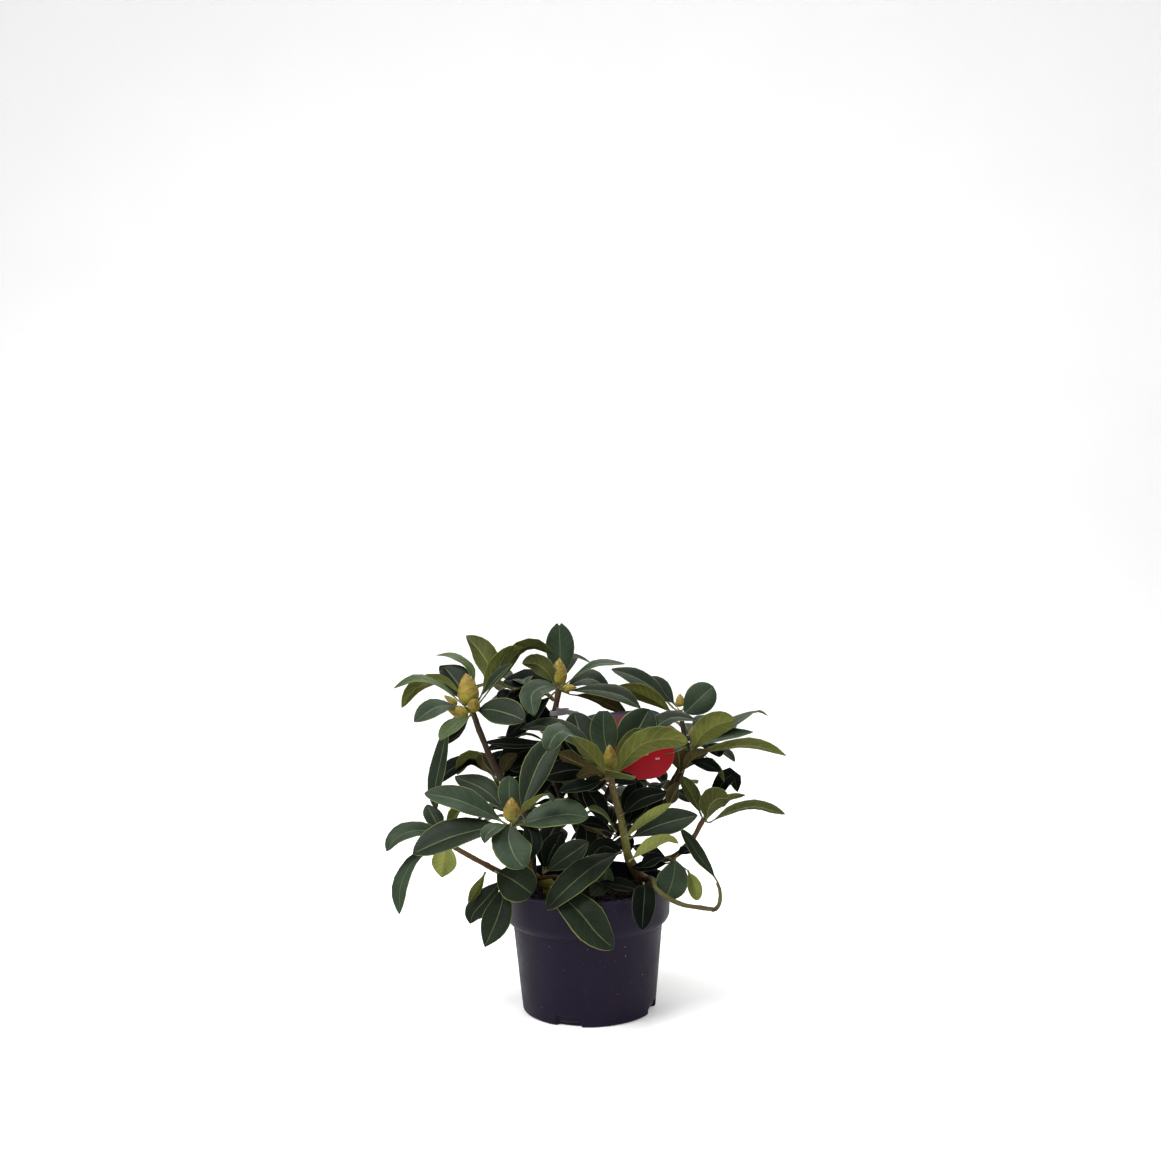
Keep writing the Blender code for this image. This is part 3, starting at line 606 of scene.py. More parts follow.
# Where the leaves of each whorl start: the tip of its shoot, or for front, shaded, stem_right and the
# mid_ ones a spot beside or along a bough.
HUB = {
    "upper_left": (-127.0, 0.0, 343.0),
    "top": (-28.0, 35.0, 362.0),
    "centre": (28.0, -45.0, 278.0),
    "front_left": (-80.0, -85.0, 230.0),
    "far_left": (-158.0, -30.0, 199.0),
    "right": (135.0, 10.0, 212.0),
    "upper_right": (120.0, 42.0, 285.0),
    "upper_right_tip": (112.0, 50.0, 331.0),
    "middle_left": (-103.0, 45.0, 252.0),
    "rim_left": (-88.0, -53.0, 168.0),
    "low_right": (97.0, -30.0, 175.0),
    "stem_right": (28.0, -45.0, 278.0),
    "front": (-11.0, -44.0, 160.0),
    "shaded": (-28.0, 37.0, 300.0),
    "back_upper": (-76.0, 100.0, 350.0),
    "back_left": (-44.0, 112.0, 257.0),
    "back": (45.0, 118.0, 272.0),
    "back_right": (132.0, 130.0, 280.0),
    "low_back_left": (-80.0, 128.0, 195.0),
    "low_back": (40.0, 146.0, 198.0),
    "mid_back_upper": (-40.0, 60.0, 298.0),
    "mid_back_left": (-28.0, 88.0, 220.0),
    "mid_back": (32.0, 94.0, 238.0),
    "mid_back_right": (98.0, 104.0, 226.0),
    "mid_low_back_left": (-54.0, 98.0, 176.0),
    "mid_low_back": (26.0, 96.0, 168.0),
}


@dataclass(frozen=True)
class Gaze:
    """The viewer's directions at one spot of the plant."""

    hub: Spot

    def point(self, span: Spot) -> Array:
        """A point from (right, up, near) in millimetres as the viewer sees it from the hub.

        Right and up are the picture's own directions at the hub's depth; near then moves the point
        along its own line of sight, so that it stays where it is in the picture.

        Args:
            span: How far it is to the right, up and near.

        Returns:
            The point in the pot's frame.
        """
        hub = np.array(self.hub)
        distance = np.linalg.norm(hub - EYE)
        moved = hub + span[0] * self.right() + span[1] * self.above()
        return EYE + (moved - EYE) * (1.0 - span[2] / distance)

    def way(self, span: Spot) -> Array:
        """A direction from its (right, up, near) parts."""
        return span[0] * self.right() + span[1] * self.above() + span[2] * self.near()

    def near(self) -> Array:
        """The direction from the hub to the viewer's eye."""
        return unit(EYE - np.array(self.hub))

    def right(self) -> Array:
        """The picture's right, which the tilt of the view turns a little downwards."""
        level = unit(np.cross(UP, self.near()))
        return unit(level * math.cos(EYE_ROLL) - np.cross(self.near(), level) * math.sin(EYE_ROLL))

    def above(self) -> Array:
        """The picture's upwards direction."""
        return np.cross(self.near(), self.right())


LEAF_STATIONS = 15
LEAF_ACROSS = np.array([-1.0, -0.955, -0.64, -0.30, -0.038, 0.038, 0.30, 0.64, 0.955, 1.0])
LEAF_THICKNESS = 0.45
RIDGE = 0.7
PETIOLE_SHARE = 0.09
PETIOLE_HALF = 1.1
PETIOLE_SIDES = 6
PETIOLE_STATIONS = 7


@dataclass(frozen=True)
class Leaf:
    """One leaf: its midrib's route, its width, and which way it faces.

    Show is the share of its width that the viewer sees, from 1 for its upper side face on to -1 for
    its underside; ending is the same at the tip. Lean turns its face to the right.
    """

    route: tuple[Spot, ...]
    width: float
    show: float
    top: Top = Top.DEEP
    under: Under = Under.OLIVE
    lean: float = 0.0
    ending: float | None = None
    pointed: float = 0.78
    fold: float = 17.0
    wave: float = 0.04
    notch: float = 0.0
    blunt: float = 0.0
    stalk: bool = True

    def facing(self, show: float) -> Spot:
        """The face's direction in the viewer's own parts: upwards as far as it isn't turned."""
        return (self.lean, math.sqrt(max(0.0, 1.0 - show * show)), show)


@dataclass
class Blade:
    """A leaf placed on the plant: points of its midrib and the directions it faces at both ends."""

    corners: Array
    faces: Array
    plan: Leaf
    phase: float
    origin: Array | None = None

    def stations(self) -> Array:
        """Shares of the length, closer together towards both ends: x - 0.09 sin(2 pi x)."""
        even = np.linspace(0.0, 1.0, LEAF_STATIONS)
        return even - 0.09 * np.sin(TURN * even)

    def half_width(self, along: Array) -> Array:
        """Half of the width along the leaf.

        A narrow stalk runs into a blade whose half width is the sine of pi times its share to the
        power 1.2, all to the power of how pointed the leaf is. A blunt leaf ends before the
        sine does.

        Args:
            along: Shares of the length.

        Returns:
            Half of the width at each of them.
        """
        share = np.clip((along - PETIOLE_SHARE) / (1.0 - PETIOLE_SHARE), 0.0, 1.0)
        share = share * (1.0 - self.plan.blunt)
        swell = np.sin(math.pi * share**1.2) ** self.plan.pointed
        stalk = PETIOLE_HALF * (1.0 - ease(share * 2.0))
        return np.maximum(self.plan.width / 2 * swell, stalk + 0.25)

    def skins(self) -> tuple[Array, Array]:
        """The upper and lower skins.

        Across the leaf each half rises by the fold's slope and droops again by the cube of its share;
        the edge waves along the leaf, the midrib is a channel above and a ridge below. The halves of a
        notched leaf reach past its midrib by the eighth power of the share along.

        Returns:
            Points of the upper and of the lower skin, stations x across x 3.
        """
        plan = self.plan
        along = self.stations()
        path = spline(self.corners, along)
        tangent = unit(np.gradient(path, axis=0))
        facing = self.faces[0] + (self.faces[1] - self.faces[0]) * along[:, None]
        normal = unit(facing - tangent * np.sum(facing * tangent, axis=1, keepdims=True))
        side = np.cross(tangent, normal)
        half = self.half_width(along)[:, None]
        across = LEAF_ACROSS[None, :]
        out = np.abs(across)
        fold = math.radians(plan.fold)
        ripple = np.sin(TURN * (1.6 * along[:, None] + self.phase) + 1.3 * across)
        ripple += 0.5 * np.sin(TURN * (3.7 * along[:, None] - self.phase) - 2.1 * across)
        rise = half * (out * math.sin(fold) - 0.16 * out**3 + plan.wave * ripple * out**2)
        rise -= 0.4 * np.exp(-((across / 0.12) ** 2)) * np.minimum(half / 8.0, 1.0)
        lateral = half * across * math.cos(fold)
        spread = np.sin(math.pi * np.clip(out / 0.86, 0.0, 1.0))
        reach = plan.notch * spread * along[:, None] ** 8
        top = path[:, None] + side[:, None] * lateral[..., None]
        top = top + normal[:, None] * rise[..., None] + tangent[:, None] * reach[..., None]
        ridge = RIDGE * np.exp(-((across / 0.1) ** 2)) * np.minimum(half / 8.0, 1.0)
        depth = LEAF_THICKNESS + ridge
        return top, top - normal[:, None] * depth[..., None]

    def add(self, pile: Pile) -> None:
        """Adds the leaf with its margin, midrib and both sides in their own finishes.

        Args:
            pile: The mesh of its whorl.
        """
        top, under = self.skins()
        cells = (LEAF_STATIONS - 1, len(LEAF_ACROSS) - 1)
        upper = np.full(cells, self.plan.top.value)
        lower = np.full(cells, self.plan.under.value)
        # A leaf in the painted-shade tone gets its margin and midrib darkened as painted shade too.
        dark = self.plan.top is Top.PAINTED_SHADE
        margin = PAINTED_SHADE_MARGIN if dark else MARGIN
        upper[:, [0, -1]] = margin
        upper[:-1, 4] = PAINTED_SHADE_RIB if dark else RIB
        lower[:-1, 4] = UNDER_RIB
        lower[:, [0, -1]] = margin
        points, faces = closed_sheet(top, under, upper, lower, margin)
        along, across = np.meshgrid(self.stations(), LEAF_ACROSS / 2 + 0.5, indexing="ij")
        layout = np.stack([across.ravel(), along.ravel()], axis=1)
        pile.add(points, faces, np.vstack([layout, layout]))

    def add_stalk(self, pile: Pile) -> None:
        """Adds the petiole, from the shoot to under the foot of the blade.

        Args:
            pile: The mesh of all the stalks.
        """
        start = spline(self.corners, np.array([0.0, 0.05, PETIOLE_SHARE + 0.03]))
        corners = start if self.origin is None else np.vstack([self.origin, start])
        path = spline(corners, np.linspace(0.0, 1.0, PETIOLE_STATIONS))
        radii = np.linspace(PETIOLE_HALF * 1.25, PETIOLE_HALF * 0.55, PETIOLE_STATIONS)
        pile.add(*pipe(path, radii, PETIOLE_SIDES))


def age(rng: np.random.Generator) -> tuple[Top, Under]:
    """Deals out the tones of a leaf in the shade of the others: two times in five the near-black
    painted-shade tone.

    Args:
        rng: The whorl's own seeded numbers.

    Returns:
        The tones of its upper side and of its underside.
    """
    top = (Top.PAINTED_SHADE, Top.PAINTED_SHADE, Top.DEEP, Top.DEEP, Top.MID)[rng.integers(5)]
    under = (Under.OLIVE, Under.BROWN, Under.OLIVE, Under.BROWN)[rng.integers(4)]
    return top, under


@dataclass
class Whorl:
    """The leaves round the tip of one shoot, laid out one by one."""

    name: str
    leaves: list[Leaf]
    nodes: tuple[str, ...]
    extra: list[Blade] = field(default_factory=list)

    def blades(self, rng: np.random.Generator) -> list[Blade]:
        """Places each leaf in the frame.

        Args:
            rng: The whorl's own seeded numbers.

        Returns:
            Its leaves.
        """
        hub = HUB[self.name]
        gaze = Gaze(hub)
        placed = []
        for leaf in self.leaves:
            corners = np.array([gaze.point(span) for span in leaf.route])
            ending = leaf.show if leaf.ending is None else leaf.ending
            faces = np.array([gaze.way(leaf.facing(leaf.show)), gaze.way(leaf.facing(ending))])
            origin = np.array(hub) - (0.0, 0.0, 3.0) if leaf.stalk else None
            placed.append(Blade(corners, faces, leaf, rng.random(), origin))
        return placed + self.extra


@dataclass
class Ring:
    """The leaves of a whorl at the back, which grow by rule.

    Leaf i stands at the golden angle times i round the shoot. The young ones near the tip rise and
    the old ones below them droop: the rise falls evenly from first to last.
    """

    name: str
    count: int
    reach: float
    rise: float
    nodes: tuple[str, ...]
    turn: float = 0.0

    def blades(self, rng: np.random.Generator) -> list[Blade]:
        """Grows the leaves.

        Args:
            rng: The whorl's own seeded numbers.

        Returns:
            Its leaves.
        """
        placed = []
        hub = np.array(HUB[self.name])
        for index in range(self.count):
            share = index / (self.count - 1)
            angle = self.turn + GOLDEN * index + rng.uniform(-0.2, 0.2)
            flat = np.array([math.cos(angle), math.sin(angle), 0.0])
            length = self.reach * (0.72 + 0.28 * math.sin(math.pi * share)) * rng.uniform(0.92, 1.0)
            lift = self.rise * (1.0 - 1.9 * share)
            foot = hub + flat * 3.0 + UP * (2.0 - 8.0 * share)
            tip = hub + flat * length + UP * lift
            bend = UP * (7.0 + 5.0 * rng.random())
            rise, fall = foot * 0.55 + tip * 0.45 + bend, foot * 0.2 + tip * 0.8 + bend * 0.7
            corners = np.array([foot, rise, fall, tip])
            top, under = age(rng)
            plan = Leaf((), rng.uniform(26.0, 34.0), 0.0, top, under, pointed=rng.uniform(0.6, 0.85))
            lean = UP + flat * 0.2 + np.cross(flat, UP) * rng.uniform(-0.25, 0.25)
            origin = hub - UP * (4.0 + 8.0 * share)
            placed.append(Blade(corners, np.array([lean, lean]), plan, rng.random(), origin))
        return placed


def in_frame(route: tuple[Spot, ...], face: Spot, leaf: Leaf) -> Blade:
    """A leaf whose route and facing are given in the pot's own frame."""
    return Blade(np.array(route, float), np.array([face, face], float), leaf, 0.3)


OVER_RIM = (0.0, -0.75, 1.0)

WHORLS = (
    # The whorl at the upper left, with the biggest bud.
    Whorl("upper_left", [
        Leaf(((-10, 6, 6), (-34, 26, 10), (-61, 35, 14), (-88, 25, 18)), 24, 0.36, Top.BRIGHT_WITH_HIGHLIGHT, fold=20),
        Leaf(((-8, 14, -4), (-33, 34, -6), (-63, 26, -8), (-79, 3, -8)), 25, -0.55, Top.MID),
        Leaf(((-12, 4, 14), (-38, 4, 32), (-65, -13, 48)), 29, 0.62, Top.MID, ending=0.75),
        Leaf(((0, -6, 14), (-16, -14, 36), (-30, -26, 50), (-36, -34, 58)), 22, 0.55, Top.BRIGHT_WITH_HIGHLIGHT),
        Leaf(((-14, -2, -4), (-27, -20, -10), (-34, -50, -13), (-42, -90, -13), (-40, -112, -10)), 24,
             0.74, lean=-0.45, pointed=0.7, fold=20),
        Leaf(((12, 18, -4), (22, 42, -8), (10, 66, -16), (-6, 84, -26)), 34, -0.84, under=Under.OLIVE_IN_PAINTED_SHADE,
             pointed=0.78, fold=26),
        Leaf(((4, 26, -12), (-2, 48, -20), (-22, 61, -26), (-40, 62, -32)), 18, 0.36, Top.BRIGHT_WITH_HIGHLIGHT),
        Leaf(((-4, 8, -8), (-16, 30, -18), (-31, 49, -28)), 38, 0.92, Top.DEEP, pointed=0.6),
        Leaf(((8, 12, 4), (26, 34, 14), (46, 52, 22)), 24, 0.5, Top.DEEP),
        Leaf(((10, 14, -2), (24, 46, -10), (44, 66, -16), (60, 70, -18)), 26, -0.5),
        Leaf(((2, -1, 8), (22, 0, 24), (44, -6, 42), (60, -13, 52)), 37, 0.92, Top.DEEP, pointed=0.66),
        Leaf(((14, 14, -8), (32, 38, -14), (52, 66, -20), (72, 73, -24), (93, 62, -28)), 27, -0.55,
             under=Under.OLIVE_IN_PAINTED_SHADE),
        Leaf(((0, 6, -12), (-18, 36, -34), (-36, 50, -50)), 32, 0.7, Top.PAINTED_SHADE),
        Leaf(((4, 0, -6), (34, 2, -16), (66, -4, -24)), 34, 0.6, Top.PAINTED_SHADE),
        Leaf(((-2, -6, -8), (-14, -26, -18), (-34, -38, -24)), 24, 0.5, Top.PAINTED_SHADE),
    ], ("leaves_upper_left", "leaf_hanging_left")),
    # The whorl at the top, with the notched upright leaf.
    Whorl("top", [
        Leaf(((0, 6, -12), (1, 38, -14), (0, 71, -10)), 34, 1.0, Top.MID, pointed=0.55, blunt=0.045,
             notch=3.4, fold=6),
        Leaf(((6, 10, -28), (14, 34, -52), (24, 34, -58), (37, 28, -62)), 20, 0.35, Top.DEEP),
        Leaf(((8, 4, 6), (24, 17, 12), (44, 27, 18), (76, 27, 22)), 22, 0.42, Top.MID),
        Leaf(((6, 0, -8), (34, 10, -14), (58, -2, -20)), 34, 0.62, Top.DEEP, pointed=0.6),
        Leaf(((6, -4, 6), (38, -3, 16), (70, -9, 22), (94, -24, 24)), 29, 0.6, Top.DEEP),
        Leaf(((12, -8, -6), (46, -14, -4), (78, -31, -8)), 28, -0.5, under=Under.BROWN),
        Leaf(((-5, 2, 6), (-14, 18, 12), (-27, 28, 14), (-43, 28, 12)), 27, -0.82, under=Under.OLIVE_IN_PAINTED_SHADE,
             pointed=0.7),
        Leaf(((4, -2, 12), (-14, 2, 34), (-32, -8, 50), (-29, -33, 60)), 31, 0.8, Top.MID, lean=-0.2),
        Leaf(((-6, 0, -10), (-34, 8, -30), (-64, 8, -46)), 40, 0.6, Top.PAINTED_SHADE, pointed=0.6),
        Leaf(((-2, 6, -18), (-12, 18, -46), (-20, 20, -74)), 36, 0.6, Top.PAINTED_SHADE),
        Leaf(((-6, -6, -8), (-30, -30, -18), (-62, -58, -28)), 33, 0.7, Top.PAINTED_SHADE),
        Leaf(((-6, -2, -8), (-34, -14, -20), (-66, -22, -30)), 34, 0.6, Top.PAINTED_SHADE),
    ], ("leaves_top", "leaf_top_upright")),
    # The whorl in the middle, which carries its two great arched leaves over the label.
    Whorl("centre", [
        Leaf(((0, 8, -10), (-7, 38, -14), (-8, 67, -10)), 32, 1.0, Top.MID, pointed=0.55, blunt=0.03,
             fold=8),
        Leaf(((8, 8, -14), (27, 40, -14), (43, 69, -12)), 46, 0.95, Top.DEEP, pointed=0.55),
        Leaf(((-6, 6, -14), (-30, 36, -24), (-41, 65, -32)), 42, 0.92, Top.DEEP, pointed=0.55),
        Leaf(((-8, -2, -14), (-40, 2, -24), (-74, -5, -30)), 36, 0.8, Top.PAINTED_SHADE, pointed=0.6),
        Leaf(((12, 14, -6), (42, 42, -8), (68, 60, -8), (95, 57, -6)), 28, 0.62, Top.DEEP),
        Leaf(((3, -7, 12), (14, 10, 20), (32, 29, 25), (58, 37, 28), (86, 33, 30)), 33, -0.84,
             pointed=0.55),
        Leaf(((4, 4, 2), (14, 28, -2), (30, 42, -6), (46, 40, -8)), 20, -0.6),
        Leaf(((-2, -7, 12), (-14, 10, 20), (-34, 32, 32), (-51, 45, 40), (-63, 38, 44), (-70, 22, 46)),
             37, -0.8, Top.MID, ending=0.8, pointed=0.52),
        Leaf(((-6, 6, -6), (-40, 38, -10), (-72, 50, -14), (-100, 47, -16)), 32, 0.62, Top.DEEP),
        Leaf(((-6, -5, 8), (4, -6, 34), (18, -7, 60), (27, -8, 66)), 36, -0.42, Top.BRIGHT_WITH_HIGHLIGHT, Under.OLIVE_IN_PAINTED_SHADE,
             fold=26),
        Leaf(((-14, -4, -20), (6, -7, -24), (31, -10, -26)), 20, 0.8, Top.PAINTED_SHADE, Under.BROWN,
             stalk=False),
        Leaf(((-6, -8, 10), (-28, -16, 26), (-56, -22, 46)), 27, 0.5, Top.PAINTED_SHADE),
        Leaf(((-10, -2, -8), (-32, 8, -20), (-58, 20, -28)), 27, -0.85, under=Under.BROWN),
        Leaf(((-2, -2, 6), (-20, 0, 12), (-38, -5, 18)), 26, -0.6, Top.PAINTED_SHADE, Under.BROWN),
        Leaf(((-2, -8, 0), (-14, -13, -2), (-30, -12, -6)), 26, 0.8, Top.PAINTED_SHADE, Under.BROWN),
        Leaf(((-6, 6, -14), (-34, 26, -40), (-52, 54, -56)), 36, 0.9, Top.PAINTED_SHADE),
    ], ("leaves_centre", "leaf_centre_upright")),
    # The nearest whorl, at the lower left.
    Whorl("front_left", [
        Leaf(((-6, 0, 4), (-30, 14, 6), (-60, 27, 8), (-95, 34, 6)), 37, 0.76, Top.MID, pointed=0.66,
             fold=22),
        Leaf(((-4, 10, -4), (-28, 36, -18), (-62, 52, -38)), 32, 0.75, Top.DEEP),
        Leaf(((0, 8, -8), (-3, 30, -10), (-3, 52, -12)), 25, 1.0, Top.MID, pointed=0.52, fold=8),
        Leaf(((8, 10, 2), (20, 44, -8), (33, 72, -16), (53, 95, -20)), 34, 0.92, Top.DEEP, pointed=0.62),
        Leaf(((6, 8, 14), (20, 22, 28), (38, 32, 34), (45, 23, 36)), 20, -0.55, Top.MID, ending=0.3),
        Leaf(((4, -2, 6), (32, 6, 12), (58, 10, 16), (83, 7, 18)), 42, 0.76, Top.MID, pointed=0.6,
             fold=22),
        Leaf(((0, 2, 12), (-4, -14, 34), (2, -33, 52), (13, -47, 60)), 45, 0.9, Top.MID, lean=0.25,
             pointed=0.5, fold=18),
        Leaf(((-4, 0, 18), (-16, -2, 38), (-27, -10, 50), (-30, -20, 54)), 20, 0.55, Top.MID),
        Leaf(((-6, 0, 8), (-30, -4, 12), (-66, -13, 16), (-107, -30, 16)), 46, 0.74, Top.DEEP,
             pointed=0.62, fold=24),
        Leaf(((12, 4, 6), (21, -14, 16), (20, -37, 20)), 23, 0.7, Top.PAINTED_SHADE, wave=0.2),
    ], ("leaves_front_left",)),
    # The drooping leaves that reach furthest to the left.
    Whorl("far_left", [
        Leaf(((2, 4, -2), (-13, 12, 4), (-38, 13, 10), (-56, 4, 14), (-65, -9, 14)), 32, 0.8, Top.MID,
             ending=0.4, pointed=0.62, fold=20),
        Leaf(((-4, -4, 2), (-32, -16, 6), (-49, -45, 10), (-51, -78, 12)), 25, 0.72, Top.MID, lean=-0.5),
        Leaf(((2, 4, 2), (0, -16, 4), (-4, -39, 6)), 30, -0.92, under=Under.PALE, pointed=0.9, fold=18),
        Leaf(((2, 6, -12), (8, 26, -24), (22, 42, -34)), 26, -0.6),
        Leaf(((-2, 6, -10), (-12, 26, -22), (-20, 42, -34)), 24, 0.5, Top.DEEP),
    ], ("leaves_far_left", "leaf_far_left_low")),
    # The small open whorl at the right.
    Whorl("right", [
        Leaf(((6, -5, 4), (33, 10, 8), (60, 15, 10), (92, 6, 12)), 27, -0.44, under=Under.OLIVE_IN_PAINTED_SHADE,
             pointed=0.62),
        Leaf(((2, -4, 6), (6, 14, 22), (16, 23, 34), (29, 23, 42)), 31, -0.9, under=Under.OLIVE_IN_PAINTED_SHADE,
             pointed=0.6, fold=22),
        Leaf(((-3, 2, 4), (-12, 24, 8), (-27, 48, 12)), 22, -0.5, under=Under.OLIVE_IN_PAINTED_SHADE),
        Leaf(((4, 4, 2), (26, 22, 6), (47, 27, 8)), 18, -0.42, under=Under.PALE),
        Leaf(((6, 6, -14), (18, 36, -28), (32, 50, -34), (38, 30, -36)), 24, 0.62, Top.PAINTED_SHADE, wave=0.15),
        Leaf(((2, 10, -10), (8, 28, -16), (19, 32, -20)), 20, 0.45, Top.DEEP),
        Leaf(((0, 4, -12), (2, 14, -36), (4, 18, -62)), 26, 0.6, Top.DEEP),
    ], ("leaves_right",)),
    # The highest whorl on the right.
    Whorl("upper_right_tip", [
        Leaf(((2, -6, 4), (18, 9, 8), (38, 28, 10)), 37, 0.97, Top.MID, pointed=0.5, fold=8),
        Leaf(((-8, 2, -4), (-30, 24, -8), (-56, 39, -10), (-81, 47, -14)), 27, 0.72, Top.DEEP),
        Leaf(((-4, 4, -14), (-24, 24, -22), (-48, 36, -28)), 30, 0.75, Top.DEEP),
        Leaf(((-6, -6, 6), (-28, 10, 14), (-54, 22, 20), (-74, 27, 24)), 28, -0.66),
        Leaf(((4, 2, -14), (18, 12, -36), (34, 20, -56)), 28, 0.6, Top.DEEP),
    ], ("leaves_upper_right_tip",)),
    # The wide whorl under it, whose long leaf reaches furthest to the right.
    Whorl("upper_right", [
        Leaf(((4, -4, 10), (14, 16, 18), (32, 30, 24), (54, 36, 26)), 34, -0.9, pointed=0.58, fold=20),
        Leaf(((8, 4, -8), (40, 24, -20), (66, 40, -28), (80, 46, -32), (92, 41, -34)), 28, 0.62, Top.MID,
             ending=-0.1),
        Leaf(((10, 4, -4), (46, 18, -12), (75, 22, -18)), 24, 0.5, Top.MID),
        Leaf(((2, -4, 4), (18, -1, 6), (45, 5, 10), (68, 8, 12), (91, 4, 13), (113, -5, 14)), 30, -0.42),
        Leaf(((0, -12, 6), (18, -15, 18), (38, -24, 22)), 24, 0.6, Top.PAINTED_SHADE),
        Leaf(((16, -4, 6), (32, -16, 12), (42, -36, 14)), 11, -0.35, under=Under.PALE),
        Leaf(((-2, 0, 8), (-12, 4, 26), (-26, -4, 46)), 28, 0.3, Top.DEEP),
        Leaf(((-10, -27, 2), (-10, -10, 6), (-14, 10, 6)), 30, -0.8, Top.PAINTED_SHADE, Under.BROWN, stalk=False),
        Leaf(((-8, -26, 6), (4, -10, 12), (24, 0, 12)), 22, -0.7, Top.PAINTED_SHADE, Under.BROWN, stalk=False),
        Leaf(((-8, -34, 0), (-16, -48, 6), (-22, -63, 8)), 20, -0.62, under=Under.BROWN),
        Leaf(((-4, 6, -12), (-18, 14, -40), (-30, 20, -68)), 28, 0.6, Top.PAINTED_SHADE),
        Leaf(((4, 8, -14), (30, 22, -40), (56, 30, -66)), 28, 0.6, Top.DEEP),
    ], ("leaves_upper_right",)),
    # The whorl behind the nearest one, in shade, with most of its leaves in the near-black painted-shade
    # tone.
    Whorl("middle_left", [
        Leaf(((-6, 8, 2), (-30, 24, 6), (-54, 14, 10), (-70, -3, 12)), 30, 0.55, Top.PAINTED_SHADE, Under.BROWN),
        Leaf(((-2, 4, 6), (-14, 22, 10), (-34, 28, 12), (-46, 8, 14)), 24, -0.55),
        Leaf(((44, 40, 10), (16, 43, 26), (-14, 36, 30)), 22, 0.5, Top.PAINTED_SHADE, stalk=False),
        Leaf(((0, 6, 8), (-14, 22, 14), (-18, 34, 16)), 22, -0.6, Top.PAINTED_SHADE, Under.BROWN),
        Leaf(((4, 6, 8), (14, 24, 12), (24, 32, 14)), 22, -0.55, Top.PAINTED_SHADE, Under.BROWN),
        Leaf(((2, 6, -6), (20, 30, -16), (44, 38, -24)), 34, 0.7, Top.PAINTED_SHADE),
        Leaf(((0, 8, -8), (4, 24, -26), (8, 36, -44)), 30, 0.6, Top.PAINTED_SHADE),
        Leaf(((4, 2, -4), (26, 12, -18), (48, 14, -30)), 33, 0.55, Top.PAINTED_SHADE),
        Leaf(((4, -2, 6), (24, -4, 16), (44, -18, 26)), 32, 0.7, Top.PAINTED_SHADE),
        Leaf(((-2, 0, 8), (-12, -6, 24), (-28, -20, 38)), 30, 0.6, Top.PAINTED_SHADE),
        Leaf(((-4, 6, -4), (-20, 24, -14), (-36, 32, -26)), 30, 0.5, Top.DEEP),
    ], ("leaves_middle_left",)),
    # Leaves along the middle shoot, seen from its tip.
    Whorl("stem_right", [
        Leaf(((6, -66, 4), (-4, -50, 16), (-14, -42, 24), (-25, -40, 30)), 21, 0.52, Top.BRIGHT_WITH_HIGHLIGHT,
             stalk=False),
        Leaf(((6, -70, 0), (-12, -58, 10), (-34, -56, 16)), 28, 0.5, Top.PAINTED_SHADE, stalk=False),
        Leaf(((15, -73, 2), (36, -54, 10), (68, -34, 14)), 20, -0.5, Top.BRIGHT_WITH_HIGHLIGHT, Under.PALE, stalk=False),
        Leaf(((20, -98, 6), (42, -81, 14), (62, -73, 18), (75, -78, 18)), 25, -0.5, under=Under.PALE,
             stalk=False),
        Leaf(((18, -74, -8), (54, -58, -20), (96, -47, -26)), 36, 0.8, Top.DEEP, stalk=False),
        Leaf(((16, -62, -16), (26, -36, -34), (28, -8, -44)), 34, 0.85, Top.PAINTED_SHADE, stalk=False),
        Leaf(((20, -66, -20), (42, -40, -36), (54, -14, -44)), 28, 0.8, Top.PAINTED_SHADE, stalk=False),
        Leaf(((0, -64, -20), (-14, -38, -26), (-30, -14, -30)), 26, 0.7, Top.PAINTED_SHADE, Under.BROWN,
             stalk=False),
        Leaf(((-4, -72, -40), (-24, -58, -44), (-48, -46, -50)), 24, -0.7, Top.PAINTED_SHADE, Under.BROWN,
             stalk=False),
        Leaf(((10, -50, -8), (34, -30, -26), (62, -22, -40)), 30, 0.7, Top.PAINTED_SHADE, stalk=False),
    ], ("leaves_stem_right", "leaves_stem_left")),
    # Leaves that hang over the rim at the left.
    Whorl("rim_left", [
        Leaf(((-14, 3, 8), (6, -7, 18), (28, -23, 22)), 45, 0.95, Top.DEEP, pointed=0.5, stalk=False,
             fold=8),
        Leaf(((-1, -4, 6), (-9, -42, 14), (-25, -79, 16)), 34, 0.9, Top.DEEP, pointed=0.9),
        Leaf(((-4, -4, -2), (-24, -28, -8), (-37, -42, -12), (-41, -54, -14)), 29, 0.84, Top.DEEP,
             wave=0.16),
        Leaf(((-24, 2, -4), (-32, -14, -6), (-43, -31, -8)), 14, -0.55, stalk=False),
    ], ("leaves_rim_left",)),
    # The low leaves in front: two great ones over the rim and the ones behind them, most of them in the
    # near-black painted-shade tone.
    Whorl("front", [
        Leaf(((-38, 4, 2), (-12, 22, 10), (13, 39, 14)), 31, 0.88, Top.DEEP, stalk=False),
        Leaf(((-36, 6, -10), (-29, 28, -14), (-16, 50, -18)), 27, 0.82, Top.PAINTED_SHADE, stalk=False),
        Leaf(((8, 12, -10), (28, 34, -12), (50, 26, -14)), 25, 0.75, Top.PAINTED_SHADE, stalk=False),
        Leaf(((18, -4, 4), (44, -8, 10), (70, -14, 12)), 25, 0.55, Top.PAINTED_SHADE, stalk=False),
        Leaf(((34, 18, 0), (30, -4, 2), (14, -20, 2)), 25, 0.72, Top.MID, stalk=False),
        Leaf(((-38, 4, -16), (-36, 34, -20), (-20, 64, -24)), 27, 0.8, Top.PAINTED_SHADE, stalk=False),
        Leaf(((0, 10, -16), (10, 40, -24), (8, 66, -30)), 26, 0.7, Top.PAINTED_SHADE, stalk=False),
